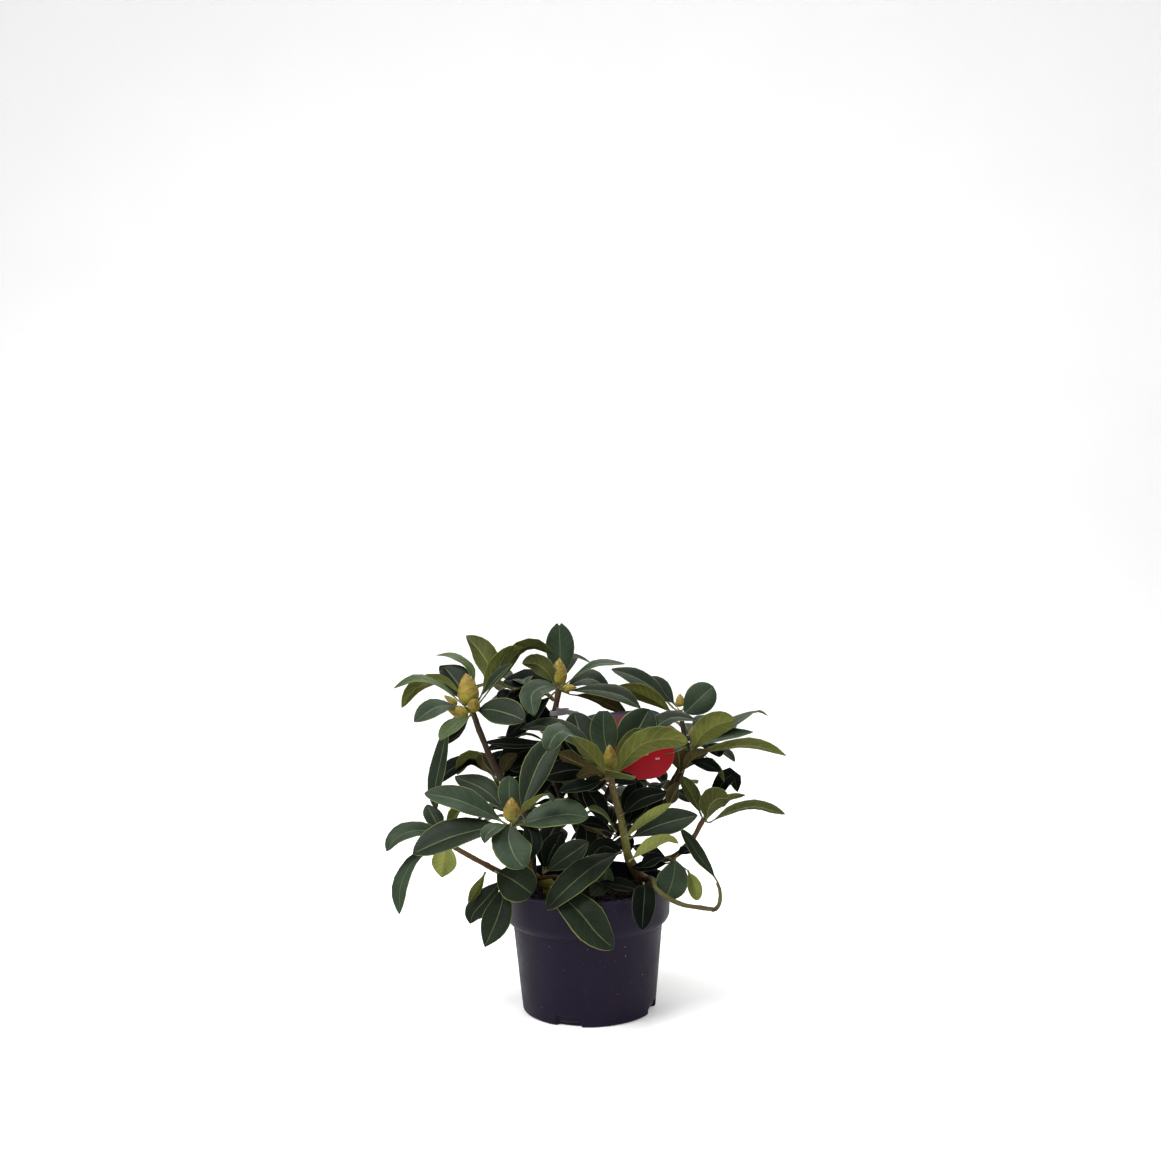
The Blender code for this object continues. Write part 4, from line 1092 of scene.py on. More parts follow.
    ], ("leaves_front", "leaf_front_long", "leaf_over_rim", "leaf_rim_front"), [
        in_frame(
            ((42, -34, 187), (14, -62, 181), (-8, -85, 171), (-30, -104, 156), (-44, -113, 143)),
            (0.0, -0.7, 1.0),
            Leaf((), 37, 0, Top.DEEP, wave=0.09, pointed=0.6),
        ),
        in_frame(
            ((-40, -70, 156), (-25, -95, 151), (-6, -110, 136), (8, -116, 119), (27, -118, 101)),
            OVER_RIM,
            Leaf((), 45, 0, Top.DEEP, pointed=0.6),
        ),
        in_frame(
            ((62, -62, 157), (62, -90, 156), (60, -103, 142), (58, -107, 118)),
            OVER_RIM,
            Leaf((), 27, 0, Top.PAINTED_SHADE, pointed=0.6),
        ),
    ]),
    # The short leaves over the rim at the right, and the narrow leaf of the bent shoot.
    Whorl("low_right", [
        Leaf(((2, 2, 6), (0, -20, 14), (-8, -44, 16)), 36, 0.96, Top.MID, pointed=0.5, fold=10),
        Leaf(((16, -12, 0), (23, -28, 4), (27, -45, 6)), 17, -0.92, under=Under.PALE, pointed=0.55),
        Leaf(((-6, 2, 2), (-20, 1, 8), (-36, -9, 10)), 22, 0.65, Top.PAINTED_SHADE),
        Leaf(((4, 4, -4), (16, 10, -14), (24, 8, -24)), 22, 0.5, Top.PAINTED_SHADE),
        Leaf(((-4, -2, -8), (-24, 6, -14), (-46, 14, -18)), 26, 0.6, Top.PAINTED_SHADE),
        Leaf(((-4, -4, -10), (-24, -8, -14), (-46, -10, -18)), 24, 0.6, Top.PAINTED_SHADE),
    ], ("leaves_low_right", "leaf_bent_shoot"), [
        in_frame(
            ((145, -47, 152), (138, -43, 163), (126, -36, 178), (116, -29, 194), (106, -24, 208)),
            (0.6, -0.75, 0.3),
            Leaf((), 20, 0, Top.DEEP, pointed=0.7),
        ),
    ]),
    # Leaves along the top bough, in the shade of the whorls round them, all in the near-black painted-shade
    # tone.
    Whorl("shaded", [
        Leaf(((-4, 0, 2), (-30, -4, 12), (-56, -4, 18), (-88, -2, 22)), 26, 0.5, Top.PAINTED_SHADE, Under.BROWN),
        Leaf(((-2, 8, -4), (-24, 26, -8), (-52, 36, -12)), 36, 0.8, Top.PAINTED_SHADE),
        Leaf(((-4, -4, 2), (-28, -22, 8), (-58, -34, 12)), 34, 0.7, Top.PAINTED_SHADE, Under.BROWN),
        Leaf(((-2, -8, 6), (-8, -24, 16), (-16, -42, 22)), 32, 0.7, Top.PAINTED_SHADE),
        Leaf(((4, -8, 2), (14, -20, 6), (24, -40, 10)), 32, 0.7, Top.PAINTED_SHADE),
        Leaf(((4, -2, 2), (22, -10, 6), (44, -20, 12)), 34, 0.7, Top.PAINTED_SHADE),
        Leaf(((-6, -36, -4), (-24, -52, -4), (-46, -60, -6)), 32, 0.7, Top.PAINTED_SHADE, Under.BROWN),
        Leaf(((6, -44, -6), (16, -60, -10), (30, -78, -14)), 30, 0.7, Top.PAINTED_SHADE, Under.BROWN),
    ], ()),
)

# The whorls of the side that the viewer doesn't see.
RINGS = (
    Ring("back_upper", 10, 66.0, 26.0, ("leaves_back_upper",), 0.2),
    Ring("back_left", 12, 80.0, 40.0, ("leaves_back_left",), 0.35),
    Ring("back", 12, 80.0, 34.0, ("leaves_back",), 0.1),
    Ring("back_right", 11, 74.0, 24.0, ("leaves_back_right",), 0.9),
    Ring("low_back_left", 11, 78.0, 26.0, ("leaves_low_back_left",), 0.7),
    Ring("low_back", 11, 62.0, 26.0, ("leaves_low_back",), 0.2),
    Ring("mid_back_upper", 5, 58.0, 14.0, (), 2.4),
    Ring("mid_back_left", 6, 60.0, 10.0, (), 1.3),
    Ring("mid_back", 6, 60.0, 12.0, (), 0.6),
    Ring("mid_back_right", 5, 56.0, 10.0, (), 2.1),
    Ring("mid_low_back_left", 5, 58.0, 8.0, (), 0.3),
    Ring("mid_low_back", 5, 56.0, 8.0, (), 1.9),
)


@dataclass
class Foliage:
    """Every whorl's leaves and their stalks, which share one piece."""

    finishes: list[bpy.types.Material]
    stalk_finish: bpy.types.Material
    stalks: Pile = field(default_factory=Pile)

    def grow(self, whorl: Whorl | Ring, seed: int) -> bpy.types.Object:
        """Builds one whorl as a piece and keeps its stalks for later.

        Args:
            whorl: The whorl.
            seed: The seed of its own numbers.

        Returns:
            The piece.
        """
        leaves = Pile()
        for blade in whorl.blades(np.random.default_rng(seed)):
            blade.add(leaves)
            blade.add_stalk(self.stalks)
        return settle(leaves.build(f"whorl_{whorl.name}", self.finishes), "leaf", *whorl.nodes)

    def finish(self) -> bpy.types.Object:
        """Builds the stalks of all the leaves."""
        return settle(self.stalks.build("leaf_stalks", [self.stalk_finish]), "young_bark")


LIMB_SIDES = 20
LIMB_STEP = 2.2
CORE_ROWS = 14
SCALE_GRID = (9, 7)
SCALE_THICKNESS = 0.55
SCALE_GREEN, SCALE_TAN, SCALE_EDGE = 0, 1, 2
TAG_FIELD, TAG_ROSE, TAG_BLUE, TAG_BAR, TAG_EDGE = range(5)
LOOP_SIDES = 48
LOOP_ROWS = 5
LOOP_RADIUS = 8.0
STRAP_HALF = 3.0
STRAP_REACH = 13.0
LUMP_CORNERS = unit(np.array([[x, y, z] for x in (-1, 1) for y in (-1, 1) for z in (-1, 1)], float))
LUMP_FACES = np.array([[0, 1, 3, 2], [4, 6, 7, 5], [0, 4, 5, 1], [2, 3, 7, 6], [0, 2, 6, 4], [1, 5, 7, 3]])


@dataclass(frozen=True)
class Limb:
    """A stem or bough: its route from thick to thin end, and how its bark stands out."""

    name: str
    route: tuple[Spot, ...]
    thick: float
    thin: float
    seed: int
    nodes: tuple[str, ...] = ()
    slot: str = "young_bark"
    flare: float = 0.0

    def build(self, bark: bpy.types.Material) -> bpy.types.Object:
        """Sweeps the limb with its bark's relief.

        The radius runs evenly from thick to thin, and swells at its foot with the fourth power of what
        is left. Long sines round and along it make its furrows, short rings at uneven heights are the
        scars of bud scales, and low half-bells at the golden angle are the scars of fallen leaves.

        Args:
            bark: Its finish.

        Returns:
            The piece.
        """
        rng = np.random.default_rng(self.seed)
        route = np.array(self.route, float)
        length = float(np.linalg.norm(np.diff(route, axis=0), axis=1).sum())
        count = max(8, int(length / LIMB_STEP))
        share = np.linspace(0.0, 1.0, count)
        path = spline(route, share)
        angle = np.linspace(0.0, TURN, LIMB_SIDES, endpoint=False)[None, :]
        along = share[:, None]
        radius = (self.thick + (self.thin - self.thick) * along) / 2
        radius = radius + self.flare * (1.0 - along) ** 4
        furrow = 0.035 * np.sin(3 * angle + 9.0 * along + rng.uniform(0, 6))
        furrow = furrow + 0.025 * np.sin(7 * angle - 23.0 * along + rng.uniform(0, 6))
        swing = np.sin(angle + rng.uniform(0, 6)) + rng.uniform(0, 6)
        relief = 1.0 + furrow + 0.05 * np.sin(TURN * along * length / 31.0 + swing)
        for _ in range(max(2, int(length / 26.0))):
            place, width = rng.uniform(0.08, 0.95), 2.4 / length
            relief = relief + 0.09 * np.exp(-(((along - place) / width) ** 2))
        for index in range(max(2, int(length / 13.0))):
            place, turn = rng.uniform(0.1, 0.97), GOLDEN * index
            away = (np.cos(angle - turn) - 1.0) / 0.28 - ((along - place) * length / 2.6) ** 2
            relief = relief + 0.13 * np.exp(away)
        points, faces = pipe(path, radius * relief, LIMB_SIDES)
        turned = np.tile(angle / TURN, (count, 1)).ravel()
        layout = np.stack([turned, np.repeat(share, LIMB_SIDES)], axis=1)
        pile = Pile()
        pile.add(points, faces, layout)
        return settle(pile.build(f"limb_{self.name}", [bark]), self.slot, *self.nodes)


@dataclass(frozen=True)
class Bud:
    """A plump egg of overlapping scales on the end of a shoot."""

    name: str
    foot: Spot
    tip: Spot
    width: float
    scales: int = 17

    def add(self, pile: Pile) -> None:
        """Lays the scales at the golden angle up the egg.

        Scale i's foot stands at 0.02 + 0.56 (i / count)^0.9 of the egg's height. It follows the egg's
        outline to a point above, and each one further up lies a little closer in.

        Args:
            pile: The mesh of the buds.
        """
        foot, tip = np.array(self.foot, float), np.array(self.tip, float)
        axis = unit(tip - foot)
        length = float(np.linalg.norm(tip - foot))
        side = unit(np.cross(axis, (0.2, 1.0, 0.1)))
        other = np.cross(axis, side)
        core = np.linspace(0.02, 0.985, CORE_ROWS)
        core_path = foot + axis * (core * length)[:, None]
        pile.add(*pipe(core_path, self.outline(core) * 0.9, CORE_ROWS))
        for index in range(self.scales):
            self.add_scale(pile, index, foot, axis, side, other, length)

    def outline(self, height: Array) -> Array:
        """Radius at each share h of the height: sin(pi h^0.78)^0.62 (0.94 - 0.16 h) half widths."""
        held = np.clip(height, 0.0, 1.0)
        return self.width / 2 * np.sin(math.pi * held**0.78) ** 0.62 * (0.94 - 0.16 * held)

    def add_scale(self, pile: Pile, index: int, foot: Array, axis: Array, side: Array, other: Array,
                  length: float) -> None:
        """Adds one scale: a small shell on the egg, widest near its foot and pointed above.

        Args:
            pile: The mesh of the buds.
            index: Its place in the order up the egg.
            foot: The foot of the egg.
            axis: The egg's own direction.
            side: A direction square to it.
            other: The one square to both.
            length: The egg's height.
        """
        share = index / self.scales
        low = 0.02 + 0.56 * share**0.9
        high = min(1.03, low + 0.40 + 0.10 * share)
        turn = GOLDEN * index + 0.4
        rows, columns = SCALE_GRID
        down, round_it = np.meshgrid(np.linspace(0, 1, rows), np.linspace(-1, 1, columns), indexing="ij")
        height = low + (high - low) * down
        spread = (1.12 - 0.3 * share) * np.sqrt(np.clip(1.0 - down**2.6, 0.0, 1.0)) + 0.02
        angle = turn + round_it * spread
        lift = 1.0 + 0.055 * (1.0 - share) + 0.05 * down**3 - 0.05 * round_it**2
        radius = self.outline(height) * lift + 0.35 + 0.5 * (1.0 - share)
        ring = np.cos(angle)[..., None] * side + np.sin(angle)[..., None] * other
        outer = foot + axis * (height * length)[..., None] + ring * radius[..., None]
        inner = foot + axis * (height * length)[..., None] + ring * (radius - SCALE_THICKNESS)[..., None]
        cells = (rows - 1, columns - 1)
        upper = np.full(cells, SCALE_GREEN)
        upper[-2:, :] = SCALE_TAN
        upper[:, [0, -1]] = SCALE_TAN
        points, faces = closed_sheet(outer, inner, upper, np.full(cells, SCALE_TAN), SCALE_EDGE)
        pile.add(points, faces)


@dataclass(frozen=True)
class Pot:
    """The flared nursery pot, with its deep band, four notches and flat foot."""

    height: float = 145.0
    rim: float = 95.0
    band: float = 33.3
    band_round: float = 11.0
    shoulder: float = 85.4
    foot: float = 75.8
    foot_round: float = 3.0
    wall: float = 2.0
    floor: float = 3.0
    notch_width: float = 30.0
    notch_height: float = 11.0
    notch_depth: float = 7.0
    notch_turn: float = -108.0
    turns: int = 480

    def build(self, plastic: bpy.types.Material) -> bpy.types.Object:
        """Turns the closed profile, with faint moulding waves, and presses the notches in.

        A notch pushes the outside in by its depth times smooth shares across its width and its
        height, so that its edges are rounded.

        Args:
            plastic: Its finish.

        Returns:
            The piece.
        """
        outer = self.outer_profile()
        inner = self.inner_profile()
        profile = np.vstack([outer, inner])
        angle = np.linspace(0.0, TURN, self.turns, endpoint=False)
        radius = np.tile(profile[:, :1], (1, self.turns))
        outside = (np.arange(len(profile)) < len(outer))[:, None]
        height = profile[:, 1:]
        from_foot = np.clip(profile[:, :1] / self.foot, 0.0, 1.0)
        ripple = 0.12 * np.sin(2 * angle + 0.7)[None, :] + 0.05 * np.sin(9 * angle)[None, :]
        radius = radius + ripple * ease(from_foot * 2.0 - 1.0) * (radius > 5.0) * ease(height / 20.0)
        radius = radius - outside * self.notch(angle, height) * (radius > self.foot - 8.0)
        points = np.stack(
            [radius * np.cos(angle), radius * np.sin(angle), np.broadcast_to(height, radius.shape)], axis=-1
        )
        pile = Pile()
        pile.add(points.reshape(-1, 3), tube_faces(len(profile), self.turns))
        return settle(pile.build("nursery_pot", [plastic]), "pot_plastic", "pot")

    def outer_profile(self) -> Array:
        """Underside, foot, wall, shoulder, band and lip from the axis outwards and up.

        The shoulder is a quarter round: the rim's overhang times the square root of 1 - (1 - t)^2.

        Returns:
            Pairs of a radius and a height.
        """
        foot_arc = arc((self.foot - self.foot_round, self.foot_round), self.foot_round, -90.0, -3.0, 7)
        low = self.height - self.band
        slope = (self.shoulder - self.foot) / (low - self.band_round)
        rise = np.linspace(self.foot_round + 1.0, low - self.band_round, 44)
        wall = np.stack([self.foot + slope * (rise - self.foot_round), rise], axis=1)
        turn = np.linspace(0.05, 1.0, 12)
        swell = np.stack(
            [
                self.shoulder + (self.rim - 1.6 - self.shoulder) * np.sqrt(1.0 - (1.0 - turn) ** 2),
                low - self.band_round + self.band_round * turn,
            ],
            axis=1,
        )
        climb = np.linspace(0.06, 0.93, 12)
        band = np.stack([self.rim - 1.6 + 1.2 * climb, low + (self.height - low) * climb], axis=1)
        lip = arc((self.rim - 1.4, self.height - 1.4), 1.4, 0.0, 90.0, 6)
        centre = np.array([[4.0, 0.0], [self.foot * 0.5, 0.0]])
        return np.vstack([centre, foot_arc, wall, swell, band, lip])

    def inner_profile(self) -> Array:
        """The inside of the wall from the lip down to the floor and in to the axis.

        Returns:
            Pairs of a radius and a height.
        """
        low = self.height - self.band
        down = np.linspace(self.height - 0.5, low + 2.0, 8)
        top = np.stack([np.full(8, self.rim - 1.4 - self.wall), down], axis=1)
        corner = np.array(
            [
                [self.shoulder - self.wall, low - self.band_round],
                [self.foot - self.wall, self.floor + 4.0],
                [self.foot - self.wall - 3.0, self.floor],
                [4.0, self.floor],
            ]
        )
        return np.vstack([top, corner])

    def notch(self, angle: Array, height: Array) -> Array:
        """How far each point is pressed in by the nearest notch.

        Args:
            angle: The points' angles round the pot.
            height: Their heights, as a column.

        Returns:
            The depth at each height and angle.
        """
        quarter = TURN / 4
        away = (angle - math.radians(self.notch_turn) + quarter / 2) % quarter - quarter / 2
        across = np.abs(away) * self.foot * 2 / self.notch_width
        wide = 1.0 - ease((across - 0.86) / 0.2)
        tall = 1.0 - ease((height / self.notch_height - 0.86) / 0.22)
        return (self.notch_depth - self.wall) * wide[None, :] * tall


def arc(centre: tuple[float, float], radius: float, start: float, end: float, count: int) -> Array:
    """Points (centre + radius cos a, centre + radius sin a) between two angles in degrees."""
    angle = np.radians(np.linspace(start, end, count))
    return np.stack([centre[0] + radius * np.cos(angle), centre[1] + radius * np.sin(angle)], axis=1)


@dataclass(frozen=True)
class Soil:
    """The root ball, whose top is crumbly peat."""

    top: float = 131.0
    radius: float = 91.2
    rings: int = 46
    turns: int = 240
    waves: int = 26
    crumb_count: int = 900
    seed: int = 31

    def build(self, peat: bpy.types.Material) -> bpy.types.Object:
        """A closed turned body with a lumpy top and loose crumbs on it.

        The top's height adds sines of crossing directions, seeded; each crumb is an eight-cornered
        lump of its own size.

        Args:
            peat: Its finish.

        Returns:
            The piece.
        """
        rng = np.random.default_rng(self.seed)
        pile = Pile()
        angle = np.linspace(0.0, TURN, self.turns, endpoint=False)
        span = np.linspace(1.0, 0.01, self.rings)[:, None]
        x, y = self.radius * span * np.cos(angle), self.radius * span * np.sin(angle)
        height = np.full(x.shape, self.top - 1.0) - 1.8 * (1.0 - span)
        for _ in range(self.waves):
            turn, wave = rng.uniform(0, TURN), rng.uniform(0.08, 0.75)
            run = wave * (x * math.cos(turn) + y * math.sin(turn))
            height += 0.22 / wave**0.35 * np.sin(run + rng.uniform(0, TURN))
        height = np.minimum(height, self.top + 2.5)
        low = np.array([[60.0, 8.0], [71.0, 9.0], [72.0, 12.0], [80.0, 92.0], [84.0, 112.0], [91.0, 121.0]])
        side = np.stack(
            [
                low[:, :1] * np.cos(angle),
                low[:, :1] * np.sin(angle),
                np.broadcast_to(low[:, 1:], (len(low), self.turns)),
            ],
            axis=-1,
        )
        points = np.vstack([side.reshape(-1, 3), np.stack([x, y, height], axis=-1).reshape(-1, 3)])
        pile.add(points, tube_faces(len(low) + self.rings, self.turns))
        self.crumbs(pile, rng)
        return settle(pile.build("peat", [peat]), "peat", "root_ball")

    def crumbs(self, pile: Pile, rng: np.random.Generator) -> None:
        """Scatters faceted lumps evenly over the top.

        Args:
            pile: The root ball's mesh.
            rng: Its seeded numbers.
        """
        count = self.crumb_count
        reach = (self.radius - 2.0) * np.sqrt(rng.random(count))
        turn = rng.random(count) * TURN
        level = self.top - 1.4 + rng.random(count) * 1.6
        centres = np.stack([reach * np.cos(turn), reach * np.sin(turn), level], axis=1)
        sizes = 0.9 + 2.0 * rng.random((count, 1, 1)) ** 3
        lumps = LUMP_CORNERS[None] * sizes * (0.7 + 0.6 * rng.random((count, 8, 1)))
        points = (centres[:, None] + lumps).reshape(-1, 3)
        faces = (LUMP_FACES[None] + 8 * np.arange(count)[:, None, None]).reshape(-1, 4)
        pile.add(points, [(faces, np.array(0))])


@dataclass(frozen=True)
class Crumbs:
    """A few specks of earth and splashes on the outside of the pot."""

    seed: int = 12
    count: int = 14

    def build(self, finishes: list[bpy.types.Material], pot: Pot) -> bpy.types.Object:
        """Flat lumps against the wall at seeded places, most of them at the front.

        Args:
            finishes: The pale speck's and the brown one's.
            pot: The pot that they stick to.

        Returns:
            The piece.
        """
        rng = np.random.default_rng(self.seed)
        pile = Pile()
        low = pot.height - pot.band - pot.band_round
        slope = (pot.shoulder - pot.foot) / low
        for index in range(self.count):
            height = rng.uniform(12.0, low - 4.0)
            turn = math.radians(rng.normal(-86.0, 40.0))
            reach = pot.foot + slope * height + 0.15
            size = rng.uniform(0.4, 0.8)
            out = np.array([math.cos(turn), math.sin(turn), 0.0])
            along = np.array([-out[1], out[0], 0.0])
            shape = LUMP_CORNERS * (0.7 + 0.6 * rng.random((8, 1))) * size
            lump = shape[:, :1] * out * 0.35 + shape[:, 1:2] * along + shape[:, 2:] * UP
            tone = np.array(index % 3 == 0, int)
            pile.add(out * reach + UP * height + lump, [(LUMP_FACES, tone)])
        return settle(pile.build("specks", finishes), "peat")


@dataclass(frozen=True)
class Label:
    """The tag with its plain coloured bands, and the strap that holds it to the bough."""

    centre: Spot = (44.0, 2.0, 298.0)
    width: float = 114.0
    height: float = 79.0
    corner: float = 30.0
    thickness: float = 1.0
    lean: float = -14.0
    roll: float = -4.0

    def turned(self, flat: Array) -> Array:
        """Points of the card, right and up and out, turned into its place.

        First the lean about the right-hand axis, then the roll about the axis to the viewer.

        Args:
            flat: Points on the card, right, up and out.

        Returns:
            Points in the pot's frame.
        """
        lean, roll = math.radians(self.lean), math.radians(self.roll)
        right, up, out = flat[..., 0], flat[..., 1], flat[..., 2]
        y = -out * math.cos(lean) - up * math.sin(lean)
        z = up * math.cos(lean) - out * math.sin(lean)
        x = right * math.cos(roll) + z * math.sin(roll)
        z = -right * math.sin(roll) + z * math.cos(roll)
        return np.stack([x, y, z], axis=-1) + np.array(self.centre)

    def build_card(self, finishes: list[bpy.types.Material]) -> bpy.types.Object:
        """A grid card whose corners are round.

        At each height the half width is the plain one, less the corner's circle beyond its centre. The
        card bows forward a little with the cosine of its share across.

        Args:
            finishes: The field, the bands, the bars and the edge.

        Returns:
            The piece.
        """
        rows, columns = 80, 96
        up, across = np.meshgrid(np.linspace(-0.5, 0.5, rows), np.linspace(-1.0, 1.0, columns), indexing="ij")
        high = up * self.height
        above = np.clip(np.abs(high) - (self.height / 2 - self.corner), 0.0, self.corner)
        half = self.width / 2 - self.corner + np.sqrt(np.maximum(self.corner**2 - above**2, 0.5))
        right = across * half
        bow = np.cos(math.pi * across / 2) - 0.5
        front = self.turned(np.stack([right, high, self.thickness / 2 + bow], axis=-1))
        back = self.turned(np.stack([right, high, -self.thickness / 2 + bow], axis=-1))
        cells = self.printing(right[:-1, :-1] / self.width, up[:-1, :-1] + 0.5 / rows)
        points, faces = closed_sheet(front, back, cells, cells, TAG_EDGE)
        pile = Pile()
        layout = np.stack([right.ravel() / self.width + 0.5, up.ravel() + 0.5], axis=1)
        pile.add(points, faces, np.vstack([layout, layout]))
        return settle(pile.build("tag", finishes), "label_card", "label_card")

    def printing(self, right: Array, up: Array) -> Array:
        """Which plain colour each cell has: field, rose band, blue edge or pale bar.

        The bands begin above an arch that rises by 0.10 times the cosine of 1.2 pi of the share across.

        Args:
            right: Each cell's share of the width from the middle.
            up: Its share of the height from the middle.

        Returns:
            The cells' finishes.
        """
        cells = np.full(right.shape, TAG_FIELD)
        arch = up - 0.10 * np.cos(math.pi * right * 1.2)
        cells[arch > 0.24] = TAG_ROSE
        cells[arch > 0.36] = TAG_BLUE
        bars = ((-0.16, -0.13, 0.16, 0.23), (-0.08, -0.05, 0.28, 0.34), (-0.24, -0.215, 0.30, 0.34))
        for low, high, start, end in bars:
            cells[(up > low) & (up < high) & (right > start) & (right < end)] = TAG_BAR
        return cells

    def build_strap(self, clear: bpy.types.Material) -> bpy.types.Object:
        """The clear strap beside the bough and its loop round it.

        The loop is a thin rounded band: a ring of radius 8 drawn out to 13.5 towards the card.

        Args:
            clear: Its finish.

        Returns:
            The piece.
        """
        turn = math.radians(12.0)
        angle = np.linspace(0.0, TURN, LOOP_SIDES, endpoint=False)
        heights = np.linspace(-STRAP_HALF, STRAP_HALF, LOOP_ROWS)
        pull = LOOP_RADIUS + 5.5 * np.clip(np.cos(angle + 0.35), 0.0, 1.0) ** 2
        centre = np.array([-31.0, 36.0, 333.0])
        walls = []
        for extra in (0.6, 0.0):
            ring = np.stack([(pull + extra) * np.cos(angle), (pull + extra) * np.sin(angle)], axis=1)
            column = [np.column_stack([ring, height + 0.12 * ring[:, 0]]) for height in heights]
            walls.append(np.array(column if extra else column[::-1]) + centre)
        band = np.vstack([walls[0].reshape(-1, 3), walls[1].reshape(-1, 3)])
        quads = grid_faces(2 * LOOP_ROWS, LOOP_SIDES, wrap=True)
        here = np.arange(LOOP_SIDES)
        after, last = (here + 1) % LOOP_SIDES, (2 * LOOP_ROWS - 1) * LOOP_SIDES
        closing = np.column_stack([last + here, last + after, after, here])
        pile = Pile()
        pile.add(band, [(np.vstack([quads, closing]), np.array(0))])
        length = np.linspace(-STRAP_REACH, STRAP_REACH, 12)
        along, wide = np.meshgrid(length, heights, indexing="ij")
        bend = 0.6 * np.cos(along / STRAP_REACH * math.pi / 2)
        middle = np.array([-19.0, 17.0, 336.0])
        sides = []
        for lift in (-0.4, 0.4):
            y = -(bend - lift) - 0.2
            x = along * math.cos(turn)
            sides.append(np.stack([x, y, wide - along * math.sin(turn)], axis=-1) + middle)
        cells = np.zeros((len(length) - 1, LOOP_ROWS - 1), int)
        points, faces = closed_sheet(sides[0][:, ::-1], sides[1][:, ::-1], cells, cells, 0)
        pile.add(points, faces)
        return settle(pile.build("tag_strap", [clear]), "label_strap", "label_strap")


LEFT_FOOT = (-44.0, 8.0, 126.0)
RIGHT_FOOT = (67.0, 12.0, 126.0)
BACK_FOOT = (8.0, 32.0, 126.0)

# The stems and boughs with the same routes as in the CAD, by the tone of their bark.
LIMBS = {
    "dark": (
        Limb("upper_left", ((-61, -13, 154), (-62, -4, 178), (-68, 4, 219), (-98, 6, 268), (-113, 4, 302),
             HUB["upper_left"]), 8.6, 6.6, 3, ("bough_upper_left",)),
        Limb("top", ((11, 36, 174), (2, 38, 191), (-15, 38, 241), (-28, 37, 300), (-34, 35, 326), HUB["top"]),
             9.4, 6.8, 4, ("bough_top",)),
        Limb("upper_right", ((12, 37, 187), (40, 38, 199), (84, 36, 219), (105, 36, 245), HUB["upper_right"]),
             8.2, 6.2, 5, ("bough_upper_right",)),
        Limb("upper_right_tip", (HUB["upper_right"], (118, 44, 294), (115, 47, 308), HUB["upper_right_tip"]),
             6.0, 5.0, 6, ("bough_upper_right_tip",)),
        Limb("back_upper", ((-23, 38, 272), (-40, 60, 298), (-62, 86, 324), HUB["back_upper"]),
             6.8, 5.6, 7, ("bough_back_upper",)),
        Limb("back", ((12, 38, 180), (16, 64, 207), (32, 94, 238), HUB["back"]),
             7.6, 5.8, 8, ("bough_back",)),
        Limb("back_right", ((10, 35, 156), (48, 64, 182), (98, 104, 226), HUB["back_right"]),
             7.2, 5.8, 9, ("bough_back_right",)),
    ),
    "trunk": (
        Limb("stem_back", (BACK_FOOT, (8, 32, 143), (10, 35, 162), (12, 37, 190)),
             12.4, 9.6, 10, ("stem_back",), "bark", 2.5),
        Limb("back_left", ((10, 35, 161), (-8, 58, 186), (-28, 88, 220), HUB["back_left"]),
             8.2, 5.8, 11, ("bough_back_left",)),
        Limb("low_back_left", ((9, 34, 149), (-22, 62, 163), (-54, 98, 176), HUB["low_back_left"]),
             7.2, 5.4, 12, ("bough_low_back_left",)),
        Limb("low_back", ((9, 34, 143), (18, 74, 160), (32, 118, 177), HUB["low_back"]),
             7.2, 5.4, 13, ("bough_low_back",)),
    ),
    "green": (
        Limb("stem_left", (LEFT_FOOT, (-44, 8, 139), (-54, 0, 145), (-64, -12, 157), (-67, -30, 173),
             (-72, -55, 197), HUB["front_left"]), 11.4, 6.2, 14, ("stem_left",), "bark", 2.0),
    ),
    "brown": (
        Limb("far_left", ((-50, 3, 142), (-64, 3, 146), (-78, -5, 150), (-100, -18, 162), (-118, -26, 174),
             (-134, -28, 184), HUB["far_left"]), 7.2, 5.4, 15, ("bough_far_left",)),
        Limb("middle_left", ((-80, 5, 238), (-88, 18, 238), (-99, 36, 240), HUB["middle_left"]),
             6.2, 5.2, 16, ("bough_middle_left",)),
        Limb("right", ((56, 2, 158), (72, 4, 162), (101, 3, 171), (120, 6, 188), HUB["right"]),
             7.2, 5.6, 18, ("bough_right",)),
        Limb("to_front", ((-58, -5, 149), (-38, -24, 156), (-12, -40, 158)), 5.0, 3.6, 21),
        Limb("to_rim_left", ((-80, -7, 151), (-86, -28, 160), HUB["rim_left"]), 5.0, 4.0, 22),
        Limb("to_low_right", ((72, 4, 161), (84, -10, 170), HUB["low_right"]), 4.6, 3.6, 23),
    ),
    "ruddy": (
        Limb("stem_right", (RIGHT_FOOT, (67, 12, 139), (60, 7, 147), (49, -8, 169), (44, -20, 190),
             (39, -31, 222), (31, -42, 256), HUB["centre"]), 10.2, 6.8, 17, ("stem_right",), "bark", 2.5),
    ),
    "bent": (
        Limb("bent_lower", ((64, 9, 141), (70, -16, 150), (74, -40, 154), (76, -61, 150), (91, -63, 138.5),
             (109, -61, 130.5), (139, -56, 124.5)), 5.6, 4.9, 19, ("bough_bent_lower",)),
        Limb("bent_upper", ((137, -57, 124), (142, -55, 125), (146, -53, 131), (147, -50, 142),
             (144, -47, 152)), 4.9, 3.6, 20, ("bough_bent_upper",)),
    ),
}

